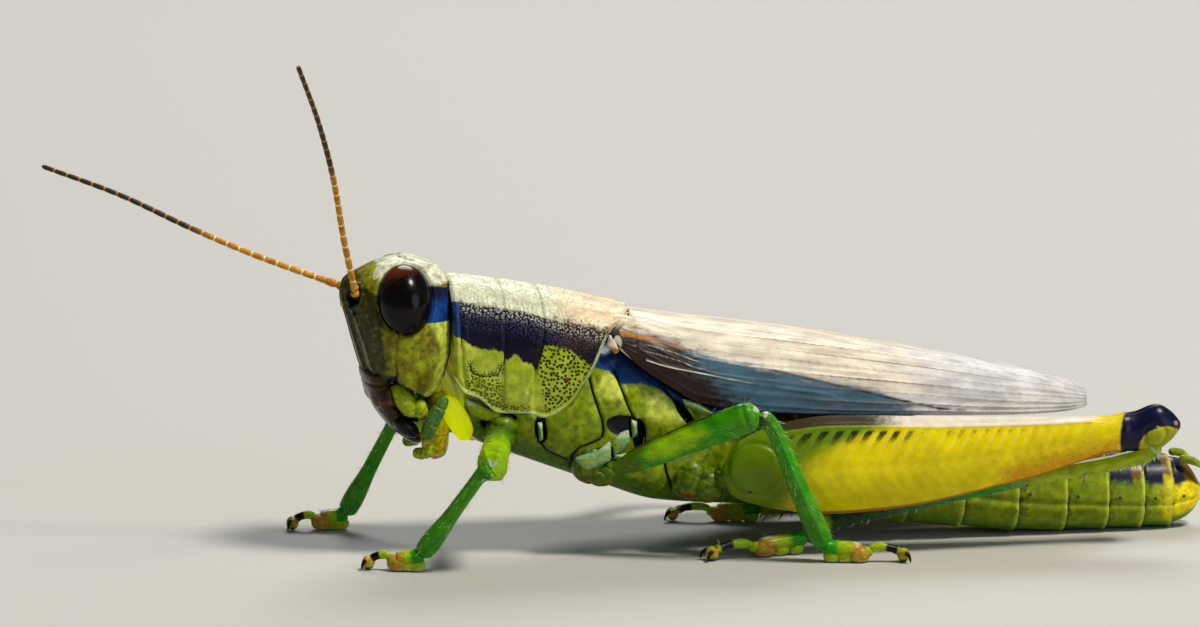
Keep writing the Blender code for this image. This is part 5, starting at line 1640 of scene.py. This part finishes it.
def build_jumping_legs():
    """Jumping legs: a thick thigh, its flat sides ribbed like a fishbone where the muscle is fixed.

    Gives back the skins that bristles grow on, and the roots of the spines."""
    c = colours()
    thigh_skin = cuticle(
        "jumping_thigh_chitin", c.femur, c.femur_light, (
            ("base", c.femur_base, 0.1), ("joint", c.belly, 0.3), ("gold", c.femur_gold, 0.6),
            ("rim", c.femur_rim, 0.5), ("rib", c.femur_base, 0.2), ("shade", c.pit, 0.25),
            ("dots", c.femur_rim, 0.4), ("back", c.feeler_dark, 0.3), ("cream", c.wing_back, 0.3),
            ("knee", c.knee, 0.25), ("blush", c.blush, 0.4), ("seam", c.seam, 0.1),
        ), cloud=1.1, grain=0.08, grain_depth=0.006, roughness=0.32, glow=0.1,
        freckle=(c.femur_rim, 0.2, 0.1), tone=0.12,
    )
    # Shell of the shins: thin blue-green tube, smooth and glossy, so it takes one long highlight; towards the
    # foot it is painted dark as the shade under the thigh.
    shin_skin = cuticle(
        "jumping_shin_chitin", c.shin, c.leg, (
            ("green", c.plate, 0.4), ("dusk", c.pit, 0.3), ("knee", c.knee, 0.3), ("pale", c.pale, 0.3),
            ("amber", c.plate, 0.3), ("seam", c.seam, 0.1),
        ), cloud=0.9, grain=0.06, grain_depth=0.005, glow=0.05,
    )
    pads = foot_material()
    skins, spines = [], []
    thigh, marks = jumping_thigh()
    for side, word in SIDES:
        name = f"jumping_thigh_{word}"
        body(name, [(lifted(thigh, side), marks)], thigh_skin, [f"hind_femur_{word}"])
        route = lifted(SHIN_ROUTE, side)
        shin, t, turn = tube(route, SHIN_SIZES, rows=SHIN_ROWS, cols=56, blunt=0.25)
        shin = ridged(shin, turn, (50, 130, 270), 0.02)
        shin_marks = {
            "green": 0.85 * edge(0.62 - t, 0.2), "dusk": 0.6 * edge(t - 0.68, 0.25),
            "knee": edge(0.04 - t, 0.04), "pale": band(t, 0.1, 0.02, 0.02) * 0.8,
            "amber": edge(t - 0.93, 0.06), "seam": 0.4 * swell(t - 0.075, 0.006),
        }
        name = f"jumping_shin_{word}"
        body(name, [(shin, shin_marks)], shin_skin, [f"hind_tibia_{word}"])
        spines += spine_roots(shin)
        foot = foot_grids(route[-1], across_body(HIND_TOE, side))
        body(f"hind_foot_{word}", foot, pads, [f"hind_tarsus_{word}"])
        skins += [(shin, 0.5), *((foot[part][0], hairy) for part, hairy in HAIRY_FOOT_PARTS)]
    return skins, spines


# ---- Geometry Nodes: bristles, spines and feelers ----

BRISTLES = {"Density": 1.8e7, "Lean": 0.7, "Seed": 7}
SPINE_ROOT = 0.05
POINTED = 1e-6
# How wide and high the patch of the unwrap is that each bristle or spine has to itself.
PATCH = (0.0015, 0.003, 0)
FEELER_ROUTES = {
    LEFT: (
        (-7.86, -0.84, 8.28), (-8.3, -1.5, 10.0), (-8.82, -2.9, 12.2), (-9.5, -4.7, 14.2),
        (-10.4, -6.8, 16.25),
    ),
    RIGHT: (
        (-7.9, 0.84, 8.28), (-10.82, 1.4, 9.35), (-12.8, 1.9, 10.2), (-14.9, 2.4, 11.2),
        (-17.28, 3.0, 12.09),
    ),
}
FEELER_SHAPE = {"Taper": 0.3, "Pinch": 0.2}
# A feeler's arithmetic in order: each row has its result, the operation, and the two values it takes.
FEELER_SUMS = (
    ("points", "MULTIPLY", "Joints", 12), ("points", "ADD", "points", 1),
    ("bulge", "MULTIPLY", "reach", "Joints"), ("bulge", "FRACT", "bulge", 0),
    ("bulge", "MULTIPLY", "bulge", PI), ("bulge", "SINE", "bulge", 0), ("bulge", "POWER", "bulge", 0.4),
    ("waist", "SUBTRACT", 1, "bulge"), ("waist", "MULTIPLY", "waist", "Pinch"),
    ("waist", "SUBTRACT", 1, "waist"), ("thin", "MULTIPLY", "reach", "Taper"),
    ("thin", "SUBTRACT", 1, "thin"), ("cap", "SUBTRACT", 1.002, "reach"), ("cap", "MULTIPLY", "cap", 90),
    ("cap", "MINIMUM", "cap", 1), ("cap", "POWER", "cap", 0.5), ("radius", "MULTIPLY", "waist", "thin"),
    ("radius", "MULTIPLY", "radius", "cap"), ("radius", "MULTIPLY", "radius", "Root"),
)
# Fractions along its route where a feeler's two root joints start and end, and their half thickness.
FEELER_ROOT = (0.0, 0.014, 0.03, 0.04, 0.058)
SCAPE_SIZES = ((0, 0.15, 0.15), (0.5, 0.16, 0.16), (1, 0.12, 0.12))
PEDICEL_SIZES = ((0, 0.11, 0.11), (0.5, 0.135, 0.135), (1, 0.11, 0.11))


def start_tree(name, sizes_):
    """A node tree with a geometry in and out and a named input for each size."""
    tree = bpy.data.node_groups.new(name, "GeometryNodeTree")
    for way in ("OUTPUT", "INPUT"):
        tree.interface.new_socket("Geometry", in_out=way, socket_type="NodeSocketGeometry")
    for label, kind in sizes_.items():
        tree.interface.new_socket(label, in_out="INPUT", socket_type=f"NodeSocket{kind}")
    return tree, node(tree, "NodeGroupInput").outputs


def end_tree(tree, geometry, material):
    """Ends a tree with smooth geometry that has its material."""
    smooth = node(tree, "GeometryNodeSetShadeSmooth", {0: geometry})
    skin = node(tree, "GeometryNodeSetMaterial", {0: smooth, "Material": material})
    node(tree, "NodeGroupOutput", {0: skin})


def run_tree(tree, source, values):
    """Runs a tree on a mesh and gives back the plain mesh that it makes."""
    holder = bpy.data.objects.new("holder", source)
    bpy.context.scene.collection.objects.link(holder)
    change = holder.modifiers.new(tree.name, "NODES")
    change.node_group = tree
    for socket in tree.interface.items_tree:
        if socket.in_out == "INPUT" and socket.name in values:
            change[socket.identifier] = values[socket.name]
    graph = bpy.context.evaluated_depsgraph_get()
    mesh = bpy.data.meshes.new_from_object(holder.evaluated_get(graph), depsgraph=graph)
    bpy.data.objects.remove(holder)
    places = np.empty(len(mesh.vertices) * 3)
    mesh.vertices.foreach_get("co", places)
    places[2::3] = np.maximum(places[2::3], 0)
    mesh.vertices.foreach_set("co", places)
    mesh.update()
    return mesh


def thorn(tree, length_, root, sides, curl):
    """A bent thorn that stands on Z; its points keep how far up it and beside its middle they are."""
    thorn_ = node(tree, "GeometryNodeMeshCone", {
        "Vertices": sides, "Side Segments": 3, "Radius Top": POINTED, "Radius Bottom": root, "Depth": length_,
    })
    place = node(tree, "ShaderNodeSeparateXYZ", {0: node(tree, "GeometryNodeInputPosition")}).outputs
    tip = node(tree, "ShaderNodeMath", {0: place[2], 1: length_}, operation="DIVIDE")
    beside = node(tree, "ShaderNodeMath", {0: place[0], 1: root}, operation="DIVIDE")
    shift = tip
    for factor in (tip, length_, curl):
        shift = node(tree, "ShaderNodeMath", {0: shift, 1: factor}, operation="MULTIPLY")
    for name, value in (("tip", tip), ("side", beside)):
        thorn_ = node(tree, "GeometryNodeStoreNamedAttribute", {0: thorn_, "Name": name, "Value": value})
    shift = node(tree, "ShaderNodeCombineXYZ", {0: shift})
    return node(tree, "GeometryNodeSetPosition", {0: thorn_, "Offset": shift})


def grow_thorns(tree, points, thorn_, aim, size, material):
    """Stands a thorn on each point, and gives each a small patch of its own round its root's place."""
    turn = node(tree, "FunctionNodeAlignRotationToVector", {"Vector": aim}, axis="Z")
    put = {"Points": points, "Instance": thorn_, "Rotation": turn, "Scale": size}
    put = node(tree, "GeometryNodeInstanceOnPoints", put)
    real = node(tree, "GeometryNodeRealizeInstances", {0: put})
    up, beside = (node(tree, "GeometryNodeInputNamedAttribute", {"Name": name}) for name in ("tip", "side"))
    patch = node(tree, "ShaderNodeCombineXYZ", {0: beside, 1: up})
    patch = node(tree, "ShaderNodeVectorMath", {0: patch, 1: PATCH}, operation="MULTIPLY")
    place = node(tree, "GeometryNodeInputNamedAttribute", {"Name": "place"}, data_type="FLOAT_VECTOR")
    place = node(tree, "ShaderNodeVectorMath", {0: place, 1: patch})
    mapped = {0: real, "Name": "OFBake", "Value": place}
    mapped = node(tree, "GeometryNodeStoreNamedAttribute", mapped, data_type="FLOAT2", domain="CORNER")
    end_tree(tree, mapped, material)


def bristle_tree(material):
    """Bristles at random places on a skin, each of them leaning with its lie and a little astray."""
    tree, given = start_tree("bristles", {
        "Length": "Float", "Root": "Float", "Density": "Float", "Lean": "Float", "Seed": "Int",
    })
    hairy = node(tree, "GeometryNodeInputNamedAttribute", {"Name": "hairy"})
    amount = node(tree, "ShaderNodeMath", {0: hairy, 1: given["Density"]}, operation="MULTIPLY")
    roots = {"Mesh": given[0], "Density": amount, "Seed": given["Seed"]}
    roots = node(tree, "GeometryNodeDistributePointsOnFaces", roots)
    lean = node(tree, "GeometryNodeInputNamedAttribute", {"Name": "lie"}, data_type="FLOAT_VECTOR")
    lean = node(tree, "ShaderNodeVectorMath", {0: lean, "Scale": given["Lean"]}, operation="SCALE")
    stray = {0: (-0.3, -0.3, -0.3), 1: (0.3, 0.3, 0.3)}
    stray = node(tree, "FunctionNodeRandomValue", stray, data_type="FLOAT_VECTOR")
    aim = node(tree, "ShaderNodeVectorMath", {0: roots.outputs["Normal"], 1: lean})
    aim = node(tree, "ShaderNodeVectorMath", {0: aim, 1: stray})
    size = node(tree, "FunctionNodeRandomValue", {2: 0.55, 3: 1.15}, data_type="FLOAT")
    hair = thorn(tree, given["Length"], given["Root"], 4, 0.25)
    grow_thorns(tree, roots, hair, aim, size, material)
    return tree


def spine_tree(material):
    """Spines at given points, each with its own aim and size."""
    tree, given = start_tree("spines", {"Length": "Float", "Root": "Float"})
    aim = node(tree, "GeometryNodeInputNamedAttribute", {"Name": "aim"}, data_type="FLOAT_VECTOR")
    size = node(tree, "GeometryNodeInputNamedAttribute", {"Name": "size"})
    spine = thorn(tree, given["Length"], given["Root"], 8, 0.15)
    grow_thorns(tree, given[0], spine, aim, size, material)
    return tree


def feeler_tree(material):
    """A feeler's skin: a line made a tapering tube that is pinched in at its joints."""
    tree, given = start_tree("feeler", {"Joints": "Int", "Root": "Float", "Taper": "Float", "Pinch": "Float"})
    values = {name: given[name] for name in ("Joints", "Root", "Taper", "Pinch")}
    values["reach"] = node(tree, "GeometryNodeSplineParameter").outputs["Factor"]
    for result, operation, a, b in FEELER_SUMS:
        inputs = {0: values.get(a, a), 1: values.get(b, b)}
        values[result] = node(tree, "ShaderNodeMath", inputs, operation=operation)
    line = node(tree, "GeometryNodeMeshToCurve", {0: given[0]})
    line = node(tree, "GeometryNodeResampleCurve", {"Curve": line, "Count": values["points"]})
    for name in ("reach", "bulge"):
        line = node(tree, "GeometryNodeStoreNamedAttribute", {0: line, "Name": name, "Value": values[name]})
    ring = node(tree, "GeometryNodeCurvePrimitiveCircle", {"Resolution": 14, "Radius": 1.0})
    skin = {"Curve": line, "Profile Curve": ring, "Scale": values["radius"], "Fill Caps": True}
    skin = node(tree, "GeometryNodeRealizeInstances", {0: node(tree, "GeometryNodeCurveToMesh", skin)})
    end_tree(tree, skin, material)
    return tree


def skin_mesh(skins):
    """One mesh of all the skins that carry bristles, with their lie and their place on an unwrap."""
    points, faces, hairy, lie, place = [], [], [], [], []
    start = 0
    for k, (grid, amount) in enumerate(skins):
        flat, made = closed(grid)
        rows, cols = grid.shape[:2]
        run = unit(np.gradient(grid.mean(axis=1), axis=0))
        across = (k % 6 + np.linspace(0.02, 0.98, cols)) / 6
        u, v = np.meshgrid(across, (k // 6 + np.linspace(0.02, 0.98, rows)) / 6)
        points.append(flat)
        faces += [tuple(start + i for i in face) for face in made]
        hairy.append(np.append(np.broadcast_to(amount, (rows, cols)), (0.0, 0.0)))
        lie.append(np.concatenate([np.repeat(run, cols, axis=0), run[[0, -1]]]))
        place.append(np.concatenate([np.stack([u, v, 0 * u], axis=-1).reshape(-1, 3), np.zeros((2, 3))]))
        start += len(flat)
    mesh = bpy.data.meshes.new("skins")
    mesh.from_pydata(((np.concatenate(points) + HOME) * MM).tolist(), [], faces)
    set_marks(mesh, {"hairy": np.concatenate(hairy)})
    set_marks(mesh, {"lie": np.concatenate(lie), "place": np.concatenate(place)}, "FLOAT_VECTOR")
    return mesh


def build_bristles(skins, spines):
    """Bristles and spines: stiff, hollow hairs of horn, glassy where light passes through."""
    c = colours()
    hair = cuticle("bristle_horn", c.hair, c.crown, (("tip", c.hair, 0.0),), roughness=0.35, glow=0.3)
    values = {"Length": sizes().bristle, "Root": sizes().bristle_root, **BRISTLES}
    place_mesh("leg_bristles", run_tree(bristle_tree(hair), skin_mesh(skins), values))
    horn = cuticle("spine_horn", c.shin, c.pale, (("tip", c.seam, 0.1),), coat=0.3)
    roots, aims, scales = (np.array(part) for part in zip(*spines))
    mesh = bpy.data.meshes.new("spine_roots")
    mesh.from_pydata(((roots + HOME) * MM).tolist(), [], [])
    places = [(0.02 + 0.96 * k / len(spines), 0.5, 0) for k in range(len(spines))]
    set_marks(mesh, {"aim": aims, "place": places}, "FLOAT_VECTOR")
    set_marks(mesh, {"size": scales})
    values = {"Length": sizes().spine, "Root": SPINE_ROOT * MM}
    place_mesh("shin_spines", run_tree(spine_tree(horn), mesh, values))


def feeler_material():
    """Shell of the feelers: thin amber beads, brown further out, with pale membrane in the joints."""
    c = colours()
    skin = cuticle(
        "feeler_chitin", c.feeler, c.femur_rim, cloud=0.25,
        roughness=0.35,
    )
    tree = skin.node_tree
    base = tree.nodes["Principled BSDF"].inputs["Base Color"]
    reach = node(tree, "ShaderNodeAttribute", attribute_name="reach").outputs["Fac"]
    bulge = node(tree, "ShaderNodeAttribute", attribute_name="bulge").outputs["Fac"]
    # Past about half way the feeler turns dark over a short span: partly the feelers' own darker outer
    # joints, and partly painted shadow with a sharp edge.
    far = node(tree, "ShaderNodeMapRange", {0: reach, 1: 0.4, 2: 0.52}, interpolation_type="SMOOTHSTEP")
    joint = node(tree, "ShaderNodeMapRange", {0: bulge, 1: 0.6, 2: 0.35})
    bead = {0: far, 6: base.links[0].from_socket, 7: c.feeler_dark}
    bead = node(tree, "ShaderNodeMix", bead, data_type="RGBA")
    gap = node(tree, "ShaderNodeMix", {0: far, 6: c.feeler_joint, 7: c.femur_rim}, data_type="RGBA")
    shade = node(tree, "ShaderNodeMix", {0: joint, 6: bead, 7: gap}, data_type="RGBA")
    tree.links.new(shade.outputs[2], base)
    return skin


def build_feelers():
    """Feelers: beads of chitin on soft, pale joints, bright near the head and dark further out."""
    skin = feeler_material()
    tree = feeler_tree(skin)
    values = {"Joints": sizes().feeler_joints, "Root": sizes().feeler, **FEELER_SHAPE}
    for side, word in SIDES:
        line = bend(FEELER_ROUTES[side], np.linspace(0.02, 1, 90))
        mesh = bpy.data.meshes.new("feeler_line")
        mesh.from_pydata(((line + HOME) * MM).tolist(), [(k, k + 1) for k in range(len(line) - 1)], [])
        parts = [f"antenna_{word}_{part}" for part in ("lower", "upper")]
        place_mesh(f"feeler_{word}", run_tree(tree, mesh, values), parts)
        steps = bend(FEELER_ROUTES[side], np.array(FEELER_ROOT))
        grids = []
        for route, knots in ((steps[:3], SCAPE_SIZES), (steps[2:], PEDICEL_SIZES)):
            grid, _, _ = tube(route, knots, rows=40, cols=28, blunt=0.08)
            grids.append((grid, {"reach": 0.0, "bulge": 1.0}))
        body(f"feeler_root_{word}", grids, skin, [f"antenna_{word}_base"])


# ---- Stage ----

CAMERA_TURN = -10.0
CAMERA_RISE = 9.0
CAMERA_DISTANCE = 200.0
CAMERA_AIM = np.array((0.0, 0.0, 7.39))
VIEW_WIDTH = 37.85
SENSOR_WIDTH = 36.0
FLOOR_REACH = 4.0
# Each lamp's name, place and size in metres, power in watts and tint.
LAMPS = (
    ("key", (0.14, -0.12, 0.34), 0.09, 1.35, "#fff8ea"),
    ("fill", (0.26, -0.30, 0.11), 0.24, 0.34, "#d6e4ff"),
    ("back", (0.05, 0.26, 0.26), 0.20, 0.75, "#ffffff"),
)


def build_stage():
    """A pale floor under soft lamps, and a camera far off with a long lens."""
    floor = bpy.data.meshes.new("floor")
    far = FLOOR_REACH
    floor.from_pydata([(-far, -far, 0), (far, -far, 0), (far, far, 0), (-far, far, 0)], [], [(0, 1, 2, 3)])
    # Matte paper: too rough for a highlight, so only soft shadows show on it.
    paper = bpy.data.materials.new("matte_paper_floor")
    paper.use_nodes = True
    shader = paper.node_tree.nodes["Principled BSDF"]
    shader.inputs["Base Color"].default_value = linear("#bdbcb8")
    shader.inputs["Roughness"].default_value = 0.9
    floor.materials.append(paper)
    ground = bpy.data.objects.new("floor", floor)
    bpy.context.scene.collection.objects.link(ground)
    world = bpy.data.worlds.new("studio")
    world.use_nodes = True
    world.node_tree.nodes["Background"].inputs[0].default_value = linear("#dfe3e8")
    world.node_tree.nodes["Background"].inputs[1].default_value = 0.13
    bpy.context.scene.world = world
    aim = (CAMERA_AIM + HOME) * MM
    for name, place, size, power, tint in LAMPS:
        light = bpy.data.lights.new(name, "AREA")
        light.shape = "DISK"
        light.size = size
        light.energy = power
        light.color = linear(tint)[:3]
        lamp = bpy.data.objects.new(name, light)
        lamp.location = place
        lamp.rotation_euler = Vector(aim - np.array(place)).to_track_quat("-Z", "Y").to_euler()
        bpy.context.scene.collection.objects.link(lamp)
    turn = math.radians(CAMERA_TURN)
    rise = math.radians(CAMERA_RISE)
    back = np.array((math.sin(turn) * math.cos(rise), -math.cos(turn) * math.cos(rise), math.sin(rise)))
    camera = bpy.data.cameras.new("camera")
    camera.sensor_width = SENSOR_WIDTH
    camera.lens = SENSOR_WIDTH * CAMERA_DISTANCE / VIEW_WIDTH
    camera.clip_start = 0.01
    camera.clip_end = 20.0
    eye = bpy.data.objects.new("camera", camera)
    eye.location = aim + back * CAMERA_DISTANCE * MM
    eye.rotation_euler = Vector(-back).to_track_quat("-Z", "Y").to_euler()
    bpy.context.scene.collection.objects.link(eye)
    bpy.context.scene.camera = eye
    bpy.context.scene.view_settings.view_transform = "Standard"

# ---- Add-on ----


class GRASSHOPPER_OT_head(bpy.types.Operator):
    """Head capsule with its keels, sutures, feeler sockets and small eyes"""

    bl_idname = "grasshopper.head"
    bl_label = "Head"

    def execute(self, context):
        build_head()
        build_ocelli()
        return {"FINISHED"}


class GRASSHOPPER_OT_eyes(bpy.types.Operator):
    """Compound eyes"""

    bl_idname = "grasshopper.eyes"
    bl_label = "Eyes"

    def execute(self, context):
        build_eyes()
        return {"FINISHED"}


class GRASSHOPPER_OT_thorax(bpy.types.Operator):
    """Shield, side plates of the thorax and neck"""

    bl_idname = "grasshopper.thorax"
    bl_label = "Thorax"

    def execute(self, context):
        build_shield()
        build_thorax()
        build_neck()
        return {"FINISHED"}


class GRASSHOPPER_OT_wings(bpy.types.Operator):
    """Wing covers and the folded hindwings under them"""

    bl_idname = "grasshopper.wings"
    bl_label = "Wings"

    def execute(self, context):
        build_wings()
        return {"FINISHED"}


class GRASSHOPPER_OT_belly(bpy.types.Operator):
    """Ringed belly with its tail feelers"""

    bl_idname = "grasshopper.belly"
    bl_label = "Belly"

    def execute(self, context):
        build_belly()
        return {"FINISHED"}


class GRASSHOPPER_OT_mouth(bpy.types.Operator):
    """Lips, jaws and palps"""

    bl_idname = "grasshopper.mouth"
    bl_label = "Mouthparts"

    def execute(self, context):
        build_mouth()
        return {"FINISHED"}


class GRASSHOPPER_OT_feelers(bpy.types.Operator):
    """Jointed feelers"""

    bl_idname = "grasshopper.feelers"
    bl_label = "Feelers"

    def execute(self, context):
        build_feelers()
        return {"FINISHED"}


class GRASSHOPPER_OT_legs(bpy.types.Operator):
    """Hips, walking legs, jumping legs, and their bristles and spines"""

    bl_idname = "grasshopper.legs"
    bl_label = "Legs"

    def execute(self, context):
        build_coxae()
        skins = build_walking_legs()
        jumping_skins, spines = build_jumping_legs()
        build_bristles(skins + jumping_skins, spines)
        return {"FINISHED"}


class GRASSHOPPER_OT_stage(bpy.types.Operator):
    """Pale floor, soft studio light and camera"""

    bl_idname = "grasshopper.stage"
    bl_label = "Stage"

    def execute(self, context):
        build_stage()
        return {"FINISHED"}


OPERATORS = (
    GRASSHOPPER_OT_head,
    GRASSHOPPER_OT_eyes,
    GRASSHOPPER_OT_mouth,
    GRASSHOPPER_OT_thorax,
    GRASSHOPPER_OT_wings,
    GRASSHOPPER_OT_belly,
    GRASSHOPPER_OT_feelers,
    GRASSHOPPER_OT_legs,
    GRASSHOPPER_OT_stage,
)


class GRASSHOPPER_PT_pieces(bpy.types.Panel):
    """Lists the pieces and the sizes and colours they are made with"""

    bl_label = "Grasshopper"
    bl_space_type = "VIEW_3D"
    bl_region_type = "UI"
    bl_category = "Grasshopper"

    def draw(self, context):
        for operator in OPERATORS:
            self.layout.operator(operator.bl_idname)
        for group in (sizes(), colours()):
            for name in group.bl_rna.properties.keys()[1:]:
                if name != "name":
                    self.layout.prop(group, name)


CLASSES = (GrasshopperColours, GrasshopperSizes, *OPERATORS, GRASSHOPPER_PT_pieces)


def register():
    for entry in CLASSES:
        bpy.utils.register_class(entry)
    bpy.types.Scene.grasshopper_colours = PointerProperty(type=GrasshopperColours)
    bpy.types.Scene.grasshopper_sizes = PointerProperty(type=GrasshopperSizes)


def unregister():
    del bpy.types.Scene.grasshopper_sizes
    del bpy.types.Scene.grasshopper_colours
    for entry in reversed(CLASSES):
        bpy.utils.unregister_class(entry)


def main():
    register()
    for operator in OPERATORS:
        getattr(bpy.ops.grasshopper, operator.bl_idname.partition(".")[2])()
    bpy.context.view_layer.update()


if __name__ == "__main__":
    main()
